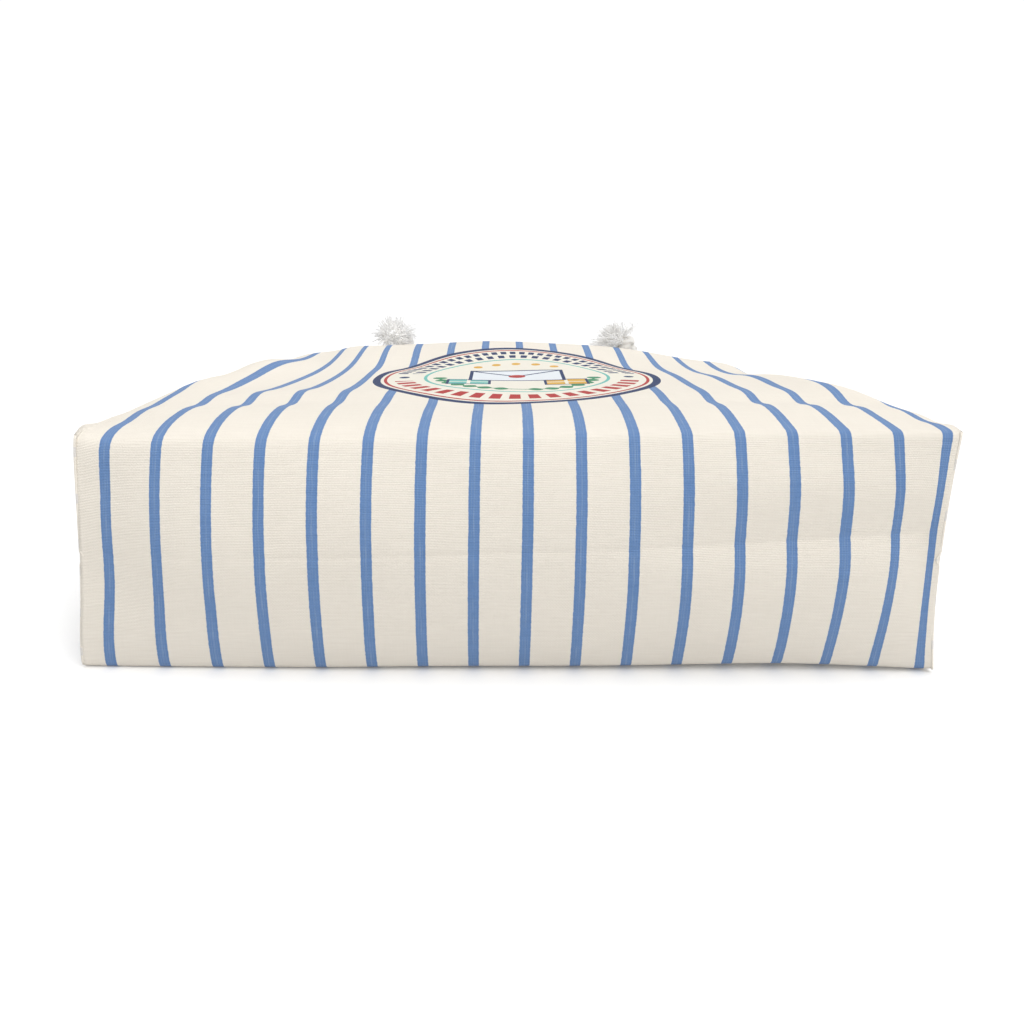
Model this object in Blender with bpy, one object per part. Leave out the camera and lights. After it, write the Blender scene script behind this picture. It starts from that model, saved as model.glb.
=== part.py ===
"""A striped canvas mail sack with rope handles, lying on its back with its boxed bottom to -Y.

Metres, +Z up, X across the sack, mouth to +Y. The origin is under the middle of the cloth, at table height.
The cloth is a tube of constant girth: its cross-section is a superellipse that goes from nearly
rectangular at the boxed bottom to nearly oval at the mouth. Distances "along" run from the bottom edge to
the mouth, and distances "round" run over the cloth from the middle of a panel towards a side seam.
"""

import math

import bmesh
import bpy
import numpy as np
from mathutils import Matrix, Vector

# Driving sizes of the cloth.
FLAT_WIDTH = 0.610  # across the empty sack, side seam to side seam
LENGTH = 0.330  # bottom edge to mouth
BOTTOM_DEPTH = 0.138  # height of the boxed bottom as it stands
CLOTH = 0.0015
FIT_GAP = 0.0003  # between pieces that touch
HEM_WIDTH = 0.036
SEAM_ALLOWANCE = 0.009  # how far a sewn edge stands inside
SEAM_THICKNESS = 0.003
SEAM_CLEARANCE = 0.0012  # from the wall's inner face to the seam's root

# How the filled sack lies.
BOTTOM_SQUARENESS = 12.0  # superellipse exponent at the bottom
MOUTH_SQUARENESS = 2.0
SQUARE_FADE = 0.0976  # distance over which the boxed shape dies away
BOTTOM_BULGE = 0.0174
BOTTOM_LEAN = 0.0069  # how far the table edge of the bottom stands in front of its upper edge
BOTTOM_SPREAD = 0.0265  # extra width at the table edge, as a share
SIDE_TILT = 0.0197  # rise of the upper face from left to right, per metre of width
LIFT_POWER = 1.5
REST_LENGTH = 0.040  # of the back, flat on the table behind the bottom edge
# The upper face's profile from bottom to mouth: share of the length, and rise over the bottom's height.
UPPER_LINE = [(0.0, 0.0), (0.18, 0.0028), (0.58, -0.0006), (0.84, 0.0046), (0.89, 0.0026), (1.0, -0.014)]

# Eyelets, clamped through the cloth and the hem.
EYELET_SPREAD = 0.100  # each side of the middle
EYELET_FROM_MOUTH = 0.019
EYELET_BORE = 0.006
EYELET_WALL = 0.0008
EYELET_FLANGE = 0.011
EYELET_PLATE = 0.001
EYELET_LIP = 0.009
EYELET_GAP = 0.0004
BORE_GAP = 0.0003

# Rope handles.
ROPE_RADIUS = 0.0045
ROPE_STEP = 2.6 * 2 * ROPE_RADIUS  # distance between points of a rope
ROPE_HEM_GAP = 0.0015
EDGE_CLEARANCE = 0.0035  # free space between the mouth's edge and a raised handle
LEG_SHIFT = 0.006  # front legs come out this much nearer the middle than the eyelets, back legs further
KNOT_RADIUS = 0.0105
KNOT_SINK = 0.0014  # the middle of the back hangs this much below the height that the knots hold
TUFT_LENGTH = 0.015
TUFT_RADIUS = 0.014
TUFT_FLAT_RADIUS = 0.0095  # of the tufts that lie squashed under the sack
# Which way each tuft points out of its knot, by side (1 front, -1 back) and hand (-1 left, 1 right).
TUFT_WAYS = {(1, -1): (-0.10, -0.80, 0.55), (1, 1): (-0.70, -0.35, 0.62),
             (-1, -1): (0.95, 0.30, 0.0), (-1, 1): (-0.95, 0.30, 0.0)}

# The loops' routes, from the left leg round to the right: across, back from the swing axis, and share of the
# height from the table's line up to the axis.
FRONT_ROUTE = [(-0.096, 0.012, 0.80), (-0.094, 0.033, 0.44), (-0.090, 0.062, 0.13), (-0.086, 0.100, 0.0),
               (-0.086, 0.145, 0.0), (-0.084, 0.187, 0.0), (-0.066, 0.228, 0.0), (-0.030, 0.251, 0.0),
               (0.012, 0.254, 0.0), (0.052, 0.236, 0.0), (0.076, 0.200, 0.0), (0.084, 0.153, 0.0),
               (0.087, 0.104, 0.0), (0.090, 0.064, 0.13), (0.093, 0.034, 0.44), (0.096, 0.012, 0.80)]
BACK_ROUTE = [(-0.107, 0.020, 0.64), (-0.109, 0.048, 0.16), (-0.114, 0.080, 0.0), (-0.120, 0.117, 0.0),
              (-0.122, 0.158, 0.0), (-0.116, 0.201, 0.0), (-0.096, 0.242, 0.0), (-0.060, 0.268, 0.0),
              (-0.014, 0.277, 0.0), (0.034, 0.275, 0.0), (0.078, 0.258, 0.0), (0.108, 0.223, 0.0),
              (0.119, 0.178, 0.0), (0.118, 0.132, 0.0), (0.114, 0.088, 0.0), (0.109, 0.050, 0.16),
              (0.107, 0.020, 0.64)]

# Places worked out from the sizes.
EYELET_ALONG = LENGTH - EYELET_FROM_MOUTH
KNOT_SEAT = EYELET_GAP + EYELET_PLATE + EYELET_GAP  # cloth to the knot's lowest point
MOUTH_LIFT = KNOT_SEAT + 2 * KNOT_RADIUS - KNOT_SINK  # the back knots hold the mouth off the table
BORE_OUTER = EYELET_BORE + EYELET_WALL
CLOTH_HOLE = BORE_OUTER + BORE_GAP
HEM_INSET = CLOTH + FIT_GAP
STACK = HEM_INSET + CLOTH + EYELET_GAP  # cloth's face to the washer
HINGE_ALONG = LENGTH + EDGE_CLEARANCE + ROPE_RADIUS
TABLE_LINE = ROPE_RADIUS + FIT_GAP
BOTTOM_REACH = BOTTOM_BULGE + BOTTOM_LEAN / 2 + CLOTH + FIT_GAP  # how far the bottom stands to -Y of its edge
Y_MIDDLE = (LENGTH - BOTTOM_REACH) / 2

SECTION_STEPS = 500
SIDE_CUT = 1 - 0.5 * FIT_GAP / (FLAT_WIDTH / 2)  # where each panel stops at the side seam, as a share

# Shares of the way round at which the cloth has an edge: the facet of each eyelet, then the corners.
EYELET_FACET = 0.021 / (FLAT_WIDTH / 2)
EYELET_ROUND = EYELET_SPREAD / (FLAT_WIDTH / 2)
ROUND_HALF = [0.12, EYELET_ROUND - EYELET_FACET, EYELET_ROUND + EYELET_FACET, 0.52, 0.64,
              0.71, 0.755, 0.785, 0.82, 0.86, 0.905, 0.94, 0.967, 0.985, SIDE_CUT]
ROUND = [-share for share in reversed(ROUND_HALF)] + [0.0] + ROUND_HALF
ALONG = [0, 0.012, 0.04, 0.08, 0.17, 0.24, 0.32, 0.44, 0.56, 0.68, 0.77, 0.83]  # shares of the length
RING_SHARES = [1.0, 0.9, 0.72, 0.45]  # rings of the bottom panel, from its rim inwards


def clear_scene():
    for obj in list(bpy.data.objects):
        bpy.data.objects.remove(obj)


def smooth_curve(points, per_span=24):
    """A Catmull-Rom curve through the points, as a dense list of points."""
    pts = np.array(points, float)
    ends = np.vstack([2 * pts[0] - pts[1], pts, 2 * pts[-1] - pts[-2]])
    t = np.linspace(0, 1, per_span, endpoint=False)[:, None]
    spans = []
    for a, b, c, d in zip(ends[:-3], ends[1:-2], ends[2:-1], ends[3:]):
        spans.append(0.5 * (2 * b + (c - a) * t + (2 * a - 5 * b + 4 * c - d) * t**2
                            + (3 * b - a - 3 * c + d) * t**3))
    return np.vstack(spans + [pts[-1:]])


def even_steps(curve, step):
    """The curve again, with points an equal distance apart that is close to step."""
    travelled = np.concatenate([[0], np.cumsum(np.linalg.norm(np.diff(curve, axis=0), axis=1))])
    count = max(3, round(travelled[-1] / step) + 1)
    places = np.linspace(0, travelled[-1], count)
    return np.stack([np.interp(places, travelled, axis) for axis in curve.T], axis=1)


UPPER_CURVE = smooth_curve(UPPER_LINE)


def quarter(half_width, half_height, power):
    """One quarter of the superellipse, from the middle of a panel to the side: x, z and distance round."""
    t = np.linspace(0, math.pi / 2, SECTION_STEPS)
    x = half_width * np.sin(t) ** (2 / power)
    z = half_height * np.cos(t) ** (2 / power)
    return x, z, np.concatenate([[0], np.cumsum(np.hypot(np.diff(x), np.diff(z)))])


def section(along):
    """Half width, half height, height of the middle, and squareness of the sack at a distance along it."""
    top = BOTTOM_DEPTH + np.interp(along / LENGTH, UPPER_CURVE[:, 0], UPPER_CURVE[:, 1])
    raised = max(0.0, along - REST_LENGTH) / (EYELET_ALONG - REST_LENGTH)
    bottom = MOUTH_LIFT * raised**LIFT_POWER
    half_height = (top - bottom) / 2
    power = MOUTH_SQUARENESS + (BOTTOM_SQUARENESS - MOUTH_SQUARENESS) * math.exp(-along / SQUARE_FADE)
    low, high = FLAT_WIDTH * 0.3, FLAT_WIDTH * 0.5
    for _ in range(40):
        half_width = (low + high) / 2
        if quarter(half_width, half_height, power)[2][-1] < FLAT_WIDTH / 2:
            low = half_width
        else:
            high = half_width
    return half_width, half_height, (top + bottom) / 2, power


def settled(points, along):
    """The section's points as the sack really stands: leaning bottom, wider at the table, tilted across."""
    x, z = points[..., 0], points[..., 1]
    up = z / BOTTOM_DEPTH
    near_bottom = math.exp(-along / SQUARE_FADE)
    return np.stack([
        x * (1 + BOTTOM_SPREAD * (1 - up) * near_bottom),
        np.full_like(x, along) - BOTTOM_LEAN * (1 - up) * (1 - along / LENGTH) - Y_MIDDLE,
        z * (1 + SIDE_TILT * x / BOTTOM_DEPTH),
    ], axis=-1)


def ring(along, shares, side, inset=0.0, shape=None):
    """Points round one panel at a distance along. side is 1 on the front and -1 on the back; inset goes in."""
    half_width, half_height, middle, power = shape or section(along)
    x, z, travelled = quarter(half_width, half_height, power)
    shares = np.asarray(shares, float)
    place = np.abs(shares) * travelled[-1]
    px = np.interp(place, travelled, x) * np.sign(shares) * (half_width - inset) / half_width
    pz = np.interp(place, travelled, z) * (half_height - inset) / half_height
    return settled(np.stack([px, middle + side * pz], axis=-1), along)


def bottom_bulge(outline_share, up):
    """How far the bottom swells towards -Y: most at its mid-height fold, nothing at its rim."""
    return BOTTOM_BULGE * (1 - outline_share**4) * (1 - (2 * up - 1) ** 2) ** 0.5


def panel_point(along, share, side, inset=0.0):
    return Vector(ring(along, [share], side, inset)[0])


def material(name, colour, roughness, metallic=0.0):
    made = bpy.data.materials.new(name)
    made.use_nodes = True
    shader = made.node_tree.nodes["Principled BSDF"]
    shader.inputs["Base Color"].default_value = (*colour, 1)
    shader.inputs["Roughness"].default_value = roughness
    shader.inputs["Metallic"].default_value = metallic
    return made


def solid(name, vertices, faces, finish, matrix=None, parent=None):
    """A closed mesh object with its faces pointing out."""
    mesh = bpy.data.meshes.new(name)
    mesh.from_pydata([tuple(v) for v in vertices], [], faces)
    build = bmesh.new()
    build.from_mesh(mesh)
    bmesh.ops.recalc_face_normals(build, faces=build.faces)
    build.to_mesh(mesh)
    build.free()
    mesh.shade_smooth()
    mesh.set_sharp_from_angle(angle=math.radians(40))
    mesh.materials.append(finish)
    obj = bpy.data.objects.new(name, mesh)
    bpy.context.scene.collection.objects.link(obj)
    if matrix is not None:
        obj.matrix_world = matrix
    obj.parent = parent
    return obj


def sheet_between(name, outer, inner, finish):
    """A closed sheet between two grids of the same size."""
    rows, columns = outer.shape[:2]
    vertices = np.vstack([outer.reshape(-1, 3), inner.reshape(-1, 3)])
    lift = rows * columns

    def at(row, column, layer):
        return layer * lift + row * columns + column

    faces = []
    for layer in (0, 1):
        for row in range(rows - 1):
            for column in range(columns - 1):
                faces.append((at(row, column, layer), at(row, column + 1, layer),
                              at(row + 1, column + 1, layer), at(row + 1, column, layer)))
    rim = [(0, column) for column in range(columns)]
    rim += [(row, columns - 1) for row in range(1, rows)]
    rim += [(rows - 1, column) for column in range(columns - 2, -1, -1)]
    rim += [(row, 0) for row in range(rows - 2, 0, -1)]
    for (r0, c0), (r1, c1) in zip(rim, rim[1:] + rim[:1]):
        faces.append((at(r0, c0, 0), at(r1, c1, 0), at(r1, c1, 1), at(r0, c0, 1)))
    return solid(name, vertices, faces, finish)


def panel(name, side, finish):
    """The front or back of the cloth, from one side seam to the other."""
    steps = sorted([share * LENGTH for share in ALONG] + [REST_LENGTH, LENGTH - HEM_WIDTH, LENGTH])
    shapes = [section(along) for along in steps]
    outer = np.array([ring(a, ROUND, side, 0.0, shape) for a, shape in zip(steps, shapes)])
    inner = np.array([ring(a, ROUND, side, CLOTH, shape) for a, shape in zip(steps, shapes)])
    return sheet_between(name, outer, inner, finish)


def hem(name, side, finish):
    """The cloth turned in round the mouth. It stops short of the sewn edges at the sides."""
    steps = [LENGTH - HEM_WIDTH, LENGTH]
    shares = [share for share in ROUND if abs(share) < 0.95]
    shapes = [section(along) for along in steps]
    outer = np.array([ring(a, shares, side, HEM_INSET, shape) for a, shape in zip(steps, shapes)])
    inner = np.array([ring(a, shares, side, HEM_INSET + CLOTH, shape) for a, shape in zip(steps, shapes)])
    return sheet_between(name, outer, inner, finish)


def bottom_panel(finish):
    """The boxed bottom: rings of the sack's own outline at its lower end, swelling between them."""
    front = ring(0, ROUND, 1)
    back = ring(0, ROUND[::-1], -1)
    outline = np.vstack([front, back])
    centre = outline.mean(axis=0)
    count = len(outline)
    vertices = []
    for layer in (0, 1):
        forward = FIT_GAP + (CLOTH if layer == 0 else 0)
        for share in RING_SHARES:
            points = centre + (outline - centre) * share
            up = np.clip(points[:, 2] / outline[:, 2].max(), 0, 1)
            points[:, 1] -= forward + np.array([bottom_bulge(share, u) for u in up])
            vertices += list(points)
        middle = centre.copy()
        middle[1] -= forward + bottom_bulge(0, 0.5)
        vertices.append(middle)
    per_layer = count * len(RING_SHARES) + 1
    faces = []
    for layer in (0, 1):
        base = layer * per_layer
        for row in range(len(RING_SHARES) - 1):
            for k in range(count):
                nxt = (k + 1) % count
                faces.append((base + row * count + k, base + row * count + nxt,
                              base + (row + 1) * count + nxt, base + (row + 1) * count + k))
        last = base + (len(RING_SHARES) - 1) * count
        for k in range(count):
            faces.append((last + k, last + (k + 1) % count, base + per_layer - 1))
    for k in range(count):
        nxt = (k + 1) % count
        faces.append((k, nxt, per_layer + nxt, per_layer + k))
    return solid("bottom_panel", vertices, faces, finish)


def bar(name, stations, finish):
    """A strip carried through a list of four-cornered stations."""
    count = len(stations)
    vertices = [corner for station in stations for corner in station]
    faces = [(0, 1, 2, 3), tuple(4 * (count - 1) + k for k in range(4))]
    for step in range(count - 1):
        for k in range(4):
            nxt = (k + 1) % 4
            faces.append((4 * step + k, 4 * step + nxt, 4 * (step + 1) + nxt, 4 * (step + 1) + k))
    return solid(name, vertices, faces, finish)


def side_seam(name, hand, finish):
    """The two panels' sewn edges, standing in from the side of the sack. hand is -1 left and 1 right."""
    stations = []
    for along in np.linspace(2 * SEAM_ALLOWANCE, LENGTH - FIT_GAP, 12):
        wall = panel_point(along, hand, 1, CLOTH + SEAM_CLEARANCE)
        half = Vector((0, 0, SEAM_THICKNESS / 2))
        inward = Vector((-hand * SEAM_ALLOWANCE, 0, 0))
        stations.append([wall - half, wall + inward - half, wall + inward + half, wall + half])
    return bar(name, stations, finish)


def corner_seam(name, hand, finish):
    """The sewn end of the boxed bottom, standing up into the sack along its short side."""
    half_width, half_height, middle, _ = section(0)
    reach = 0.78 * half_height
    wall = hand * (0.975 * half_width - CLOTH - SEAM_THICKNESS)
    stations = []
    for height in np.linspace(middle - reach, middle + reach, 6):
        corners = [(wall, 0.0), (wall, SEAM_ALLOWANCE),
                   (wall + hand * SEAM_THICKNESS, SEAM_ALLOWANCE), (wall + hand * SEAM_THICKNESS, 0.0)]
        station = []
        for x, forward in corners:
            place = settled(np.array([[x, height]]), 0.0)[0]
            station.append(Vector((place[0], place[1] + forward + FIT_GAP, place[2])))
        stations.append(station)
    return bar(name, stations, finish)


def turned(name, profile, finish, matrix, segments=24):
    """A solid turned about its own Z. The profile is a closed loop of (radius, height)."""
    vertices = []
    for k in range(segments):
        angle = 2 * math.pi * k / segments
        vertices += [(r * math.cos(angle), r * math.sin(angle), z) for r, z in profile]
    count = len(profile)
    faces = []
    for k in range(segments):
        nxt = (k + 1) % segments
        for j in range(count):
            after = (j + 1) % count
            faces.append((k * count + j, nxt * count + j, nxt * count + after, k * count + after))
    return solid(name, vertices, faces, finish, matrix)


def seat(side, hand):
    """The frame of an eyelet: its centre on the cloth's outer face, Z straight out of the cloth."""
    share = hand * EYELET_ROUND
    corners = [panel_point(along, hand * (EYELET_ROUND + step), side)
               for along in (LENGTH - HEM_WIDTH, LENGTH) for step in (-EYELET_FACET, EYELET_FACET)]
    across = (corners[1] - corners[0] + corners[3] - corners[2]).normalized() * hand
    forward = (corners[2] - corners[0] + corners[3] - corners[1]).normalized()
    out = across.cross(forward) * side
    out.normalize()
    middle = sum(corners, Vector()) / 4
    on_line = (EYELET_ALONG - (LENGTH - HEM_WIDTH)) / HEM_WIDTH - 0.5
    slope = (corners[2] + corners[3] - corners[0] - corners[1]) / 2
    place = middle + slope * on_line
    place.x = panel_point(EYELET_ALONG, share, side).x
    forward = (forward - out * forward.dot(out)).normalized()
    turn = Matrix((forward.cross(out), forward, out)).transposed()
    return Matrix.Translation(place) @ turn.to_4x4()


def eyelet(name, matrix, finish):
    """A flanged barrel whose inner end is rolled over the washer."""
    face = EYELET_GAP
    inside = -(STACK + EYELET_PLATE + EYELET_GAP)
    profile = [
        (EYELET_BORE, face + EYELET_PLATE), (EYELET_FLANGE - EYELET_PLATE / 2, face + EYELET_PLATE),
        (EYELET_FLANGE, face + EYELET_PLATE / 2), (EYELET_FLANGE, face), (BORE_OUTER, face),
        (BORE_OUTER, inside), (EYELET_LIP, inside), (EYELET_LIP, inside - EYELET_PLATE / 2),
        (EYELET_LIP - EYELET_PLATE / 2, inside - EYELET_PLATE), (EYELET_BORE, inside - EYELET_PLATE),
    ]
    return turned(name, profile, finish, matrix)


def washer(name, matrix, finish):
    top, bottom = -STACK, -(STACK + EYELET_PLATE)
    profile = [(CLOTH_HOLE, top), (EYELET_FLANGE, top), (EYELET_FLANGE, bottom), (CLOTH_HOLE, bottom)]
    return turned(name, profile, finish, matrix)


def hole_cutter(name, matrix):
    """Cuts the cloth and the hem for one eyelet. It is a tool, not a piece of the sack."""
    build = bmesh.new()
    bmesh.ops.create_cone(build, cap_ends=True, segments=24, radius1=CLOTH_HOLE, radius2=CLOTH_HOLE,
                          depth=8 * CLOTH)
    mesh = bpy.data.meshes.new(name)
    build.to_mesh(mesh)
    build.free()
    obj = bpy.data.objects.new(name, mesh)
    bpy.context.scene.collection.objects.link(obj)
    obj.matrix_world = matrix
    obj.hide_render = True
    obj.display_type = "WIRE"
    return obj


def cut(obj, cutter):
    modifier = obj.modifiers.new(cutter.name, "BOOLEAN")
    modifier.operation = "DIFFERENCE"
    modifier.solver = "EXACT"
    modifier.object = cutter


def knot_centre(matrix):
    return matrix @ Vector((0, 0, KNOT_SEAT + KNOT_RADIUS))


def knot(name, matrix, finish):
    """The lump of an overhand knot, drawn up against its eyelet."""
    build = bmesh.new()
    bmesh.ops.create_uvsphere(build, u_segments=18, v_segments=12, radius=KNOT_RADIUS)
    mesh = bpy.data.meshes.new(name)
    build.to_mesh(mesh)
    build.free()
    mesh.shade_smooth()
    mesh.materials.append(finish)
    obj = bpy.data.objects.new(name, mesh)
    bpy.context.scene.collection.objects.link(obj)
    obj.matrix_world = Matrix.Translation(knot_centre(matrix))
    return obj


def tuft(name, matrix, direction, end_radius, finish):
    """The frayed end of a rope, fanning out of its knot."""
    direction = Vector(direction).normalized()
    start = KNOT_RADIUS + FIT_GAP
    profile = [(0.0001, 0.0), (ROPE_RADIUS, 0.0), (0.55 * end_radius, 0.3 * TUFT_LENGTH),
               (0.9 * end_radius, 0.62 * TUFT_LENGTH), (end_radius, 0.85 * TUFT_LENGTH),
               (0.7 * end_radius, TUFT_LENGTH), (0.0001, 1.05 * TUFT_LENGTH)]
    segments = 16
    vertices = [(0, 0, 0)]
    for r, z in profile[1:-1]:
        vertices += [(r * math.cos(2 * math.pi * k / segments), r * math.sin(2 * math.pi * k / segments), z)
                     for k in range(segments)]
    vertices.append((0, 0, profile[-1][1]))
    faces = []
    for k in range(segments):
        nxt = (k + 1) % segments
        faces.append((0, 1 + nxt, 1 + k))
        for row in range(len(profile) - 3):
            base = 1 + row * segments
            faces.append((base + k, base + nxt, base + segments + nxt, base + segments + k))
        last = 1 + (len(profile) - 3) * segments
        faces.append((last + k, last + nxt, len(vertices) - 1))
    place = knot_centre(matrix) + direction * start
    turn = direction.to_track_quat("Z", "Y").to_matrix().to_4x4()
    return solid(name, vertices, faces, finish, Matrix.Translation(place) @ turn)


def rope(name, points, finish, radii=None, origin=None):
    """A round rope along the points. radii narrows it at points of its own; origin is its joint."""
    origin = Vector(origin or (0, 0, 0))
    curve = bpy.data.curves.new(name, "CURVE")
    curve.dimensions = "3D"
    curve.bevel_depth = ROPE_RADIUS
    curve.bevel_resolution = 2
    curve.use_fill_caps = True
    spline = curve.splines.new("POLY")
    spline.points.add(len(points) - 1)
    for k, place in enumerate(points):
        spline.points[k].co = (*(Vector(place) - origin), 1)
        spline.points[k].radius = 1.0 if radii is None else radii[k]
    curve.materials.append(finish)
    obj = bpy.data.objects.new(name, curve)
    bpy.context.scene.collection.objects.link(obj)
    obj.location = origin
    return obj


def hinge_height(side):
    """Where the ropes leave the mouth: under the front hem, or over the back one."""
    cloth = panel_point(LENGTH, EYELET_ROUND, side).z * 0.5 + panel_point(LENGTH, -EYELET_ROUND, side).z * 0.5
    return cloth - side * (HEM_INSET + CLOTH + ROPE_HEM_GAP + ROPE_RADIUS + SIDE_TILT * EYELET_SPREAD)


def leg_place(side, hand):
    """The middle of the rope where it crosses the mouth's edge, on its handle's swing axis."""
    return Vector((hand * (EYELET_SPREAD - side * LEG_SHIFT), HINGE_ALONG - Y_MIDDLE, hinge_height(side)))


def rope_end(name, side, hand, matrix, finish):
    """The held stretch: from the knot through the eyelet, round under the hem, to a round end on the axis."""
    axis = leg_place(side, hand)
    inside = -(STACK + 2 * EYELET_PLATE + EYELET_GAP)
    through = [matrix @ Vector((0, 0, KNOT_SEAT - FIT_GAP)), matrix @ Vector((0, 0, inside - 0.002))]
    deep = matrix @ Vector((0, 0.006, inside - 0.013))
    run_in = axis + Vector((0, -0.010, 0))
    middle = (deep + run_in) / 2 + Vector((0, 0.001, -side * 0.003))
    curve = smooth_curve([*through, deep, middle, run_in, axis])
    stem = even_steps(curve, ROPE_RADIUS * 0.9)
    distance = np.linalg.norm(stem - np.array(axis), axis=1)
    body = [p for p, d in zip(stem, distance) if d > 0.6 * ROPE_RADIUS]
    ahead = (np.array(axis) - body[-1])
    ahead = ahead / np.linalg.norm(ahead)
    points, radii = list(body), [1.0] * len(body)
    for angle in (0, 30, 52, 70, 82):
        turn = math.radians(angle)
        points.append(np.array(axis) + ahead * ROPE_RADIUS * math.sin(turn))
        radii.append(math.cos(turn))
    return rope(name, points, finish, radii)


def handle(name, side, route, finish):
    """The loop that swings: route is the left leg, then the far turn, then the right leg."""
    left, right = leg_place(side, -1), leg_place(side, 1)
    first, last = Vector(route[0]), Vector(route[-1])
    reach = ROPE_RADIUS + FIT_GAP
    start = left + (first - left).normalized() * reach
    stop = right + (last - right).normalized() * reach
    curve = smooth_curve([start, *[Vector(p) for p in route], stop])
    axis = Vector((0, left.y, left.z))
    return rope(name, even_steps(curve, ROPE_STEP), finish, origin=axis)


def routed(side, offsets):
    """Route points from (across, back from the axis, share of the way up from the table to the axis)."""
    axis = leg_place(side, 1)
    return [(x, axis.y + back, TABLE_LINE + up * (axis.z - TABLE_LINE)) for x, back, up in offsets]


def sack():
    canvas = material("striped_canvas", (0.90, 0.86, 0.78), 0.9)
    lining = material("turned_in_canvas", (0.86, 0.82, 0.74), 0.9)
    thread = material("overlocked_seam", (0.80, 0.77, 0.70), 0.95)
    brass = material("nickel_eyelet", (0.70, 0.69, 0.66), 0.3, 1.0)
    cotton = material("cotton_rope", (0.88, 0.85, 0.78), 0.95)

    panels = {1: panel("front_panel", 1, canvas), -1: panel("back_panel", -1, canvas)}
    hems = {1: hem("front_hem", 1, lining), -1: hem("back_hem", -1, lining)}
    bottom_panel(canvas)
    for hand, word in ((-1, "left"), (1, "right")):
        side_seam(f"{word}_side_seam", hand, thread)
        corner_seam(f"{word}_corner_seam", hand, thread)
    for side, face in ((1, "front"), (-1, "back")):
        for hand, word in ((-1, "left"), (1, "right")):
            matrix = seat(side, hand)
            cutter = hole_cutter(f"{face}_hole_{word}", matrix)
            cut(panels[side], cutter)
            cut(hems[side], cutter)
            eyelet(f"{face}_eyelet_{word}", matrix, brass)
            washer(f"{face}_washer_{word}", matrix, brass)
            knot(f"{face}_knot_{word}", matrix, cotton)
            end_radius = TUFT_RADIUS if side == 1 else TUFT_FLAT_RADIUS
            tuft(f"{face}_tuft_{word}", matrix, TUFT_WAYS[side, hand], end_radius, cotton)
            rope_end(f"{face}_rope_{word}", side, hand, matrix, cotton)
    handle("front_handle", 1, routed(1, FRONT_ROUTE), cotton)
    handle("back_handle", -1, routed(-1, BACK_ROUTE), cotton)


clear_scene()
sack()
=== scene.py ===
"""The looks of a striped canvas mail sack with rope handles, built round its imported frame.

Metres, +Z up. The sack lies on its back with its boxed bottom to -Y and its mouth to +Y. Every cloth surface
is a function of two lengths measured over the cloth: round it, from the middle of a panel to a side seam,
and along it, from the bottom edge to the mouth. A side is 1 for the front panel and -1 for the back one, and a
hand is -1 for left and 1 for right.
"""

import math

import bmesh
import bpy
import numpy as np
from mathutils import Matrix, Vector


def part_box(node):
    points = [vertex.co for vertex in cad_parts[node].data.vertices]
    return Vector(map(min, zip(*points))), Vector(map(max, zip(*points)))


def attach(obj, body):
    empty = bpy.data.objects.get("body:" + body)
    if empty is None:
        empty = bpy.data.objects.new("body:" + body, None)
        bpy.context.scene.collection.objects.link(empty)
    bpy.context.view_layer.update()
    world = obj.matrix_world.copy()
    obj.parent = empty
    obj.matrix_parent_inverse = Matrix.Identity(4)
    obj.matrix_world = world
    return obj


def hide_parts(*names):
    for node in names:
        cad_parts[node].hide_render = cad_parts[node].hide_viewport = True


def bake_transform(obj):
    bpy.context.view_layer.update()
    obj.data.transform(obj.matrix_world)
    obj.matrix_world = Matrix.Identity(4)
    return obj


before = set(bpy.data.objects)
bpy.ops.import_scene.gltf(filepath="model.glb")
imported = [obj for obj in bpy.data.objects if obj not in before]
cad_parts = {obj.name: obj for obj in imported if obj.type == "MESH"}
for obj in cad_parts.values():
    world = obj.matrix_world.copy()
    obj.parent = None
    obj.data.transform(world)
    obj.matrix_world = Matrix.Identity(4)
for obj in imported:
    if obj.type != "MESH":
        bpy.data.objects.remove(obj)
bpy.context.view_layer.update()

# ---------------------------------------------------------------- sizes of the cloth, as in the frame
HALF_GIRTH = 0.305
LENGTH = 0.330
DEPTH = 0.138
CLOTH = 0.0012
HEM_WIDTH = 0.034
PITCH = 0.02744  # from stripe to stripe
STRIPE_START = -7.795 * PITCH  # middle of the first stripe of the bottom
STRIPE_HALF = 0.0029
LEFT_END, RIGHT_END = 0.2293, 0.2332  # where the boxed bottom ends, round the cloth from the middle
CORNER = (LEFT_END + RIGHT_END) / 2
SHIFT = (RIGHT_END - LEFT_END) / 2  # of the bottom's middle
SQUARE_FADE = 0.0976  # length in which the square section turns to an oval
BULGE = 0.0172  # of the bottom's middle, towards -Y
LEAN = 0.0069  # how far the bottom's lower edge stands out in front of its upper one
SPREAD = 0.0265  # how much wider the sack is at the table, as a share
SIDE_TILT = 0.0197  # rise of the right end, as a share of x
REST_LENGTH = 0.040  # the back lies flat on the table this far, and then rises to the mouth
MOUTH_LIFT = 0.0208
LIFT_ALONG = 0.311
# the upper line from the bottom edge to the mouth: a share of the length, and the height over DEPTH
UPPER_LINE = [(0.0, 0.0), (0.18, 0.0028), (0.58, -0.0006), (0.84, 0.0046), (0.89, 0.0026), (1.0, -0.014)]
Y_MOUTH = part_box("front_panel")[1].y
Y_EDGE = Y_MOUTH - LENGTH  # the upper bottom edge

ROPE = 0.0045  # radius
LAY = 0.021  # length in which a rope's strands turn once


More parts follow.
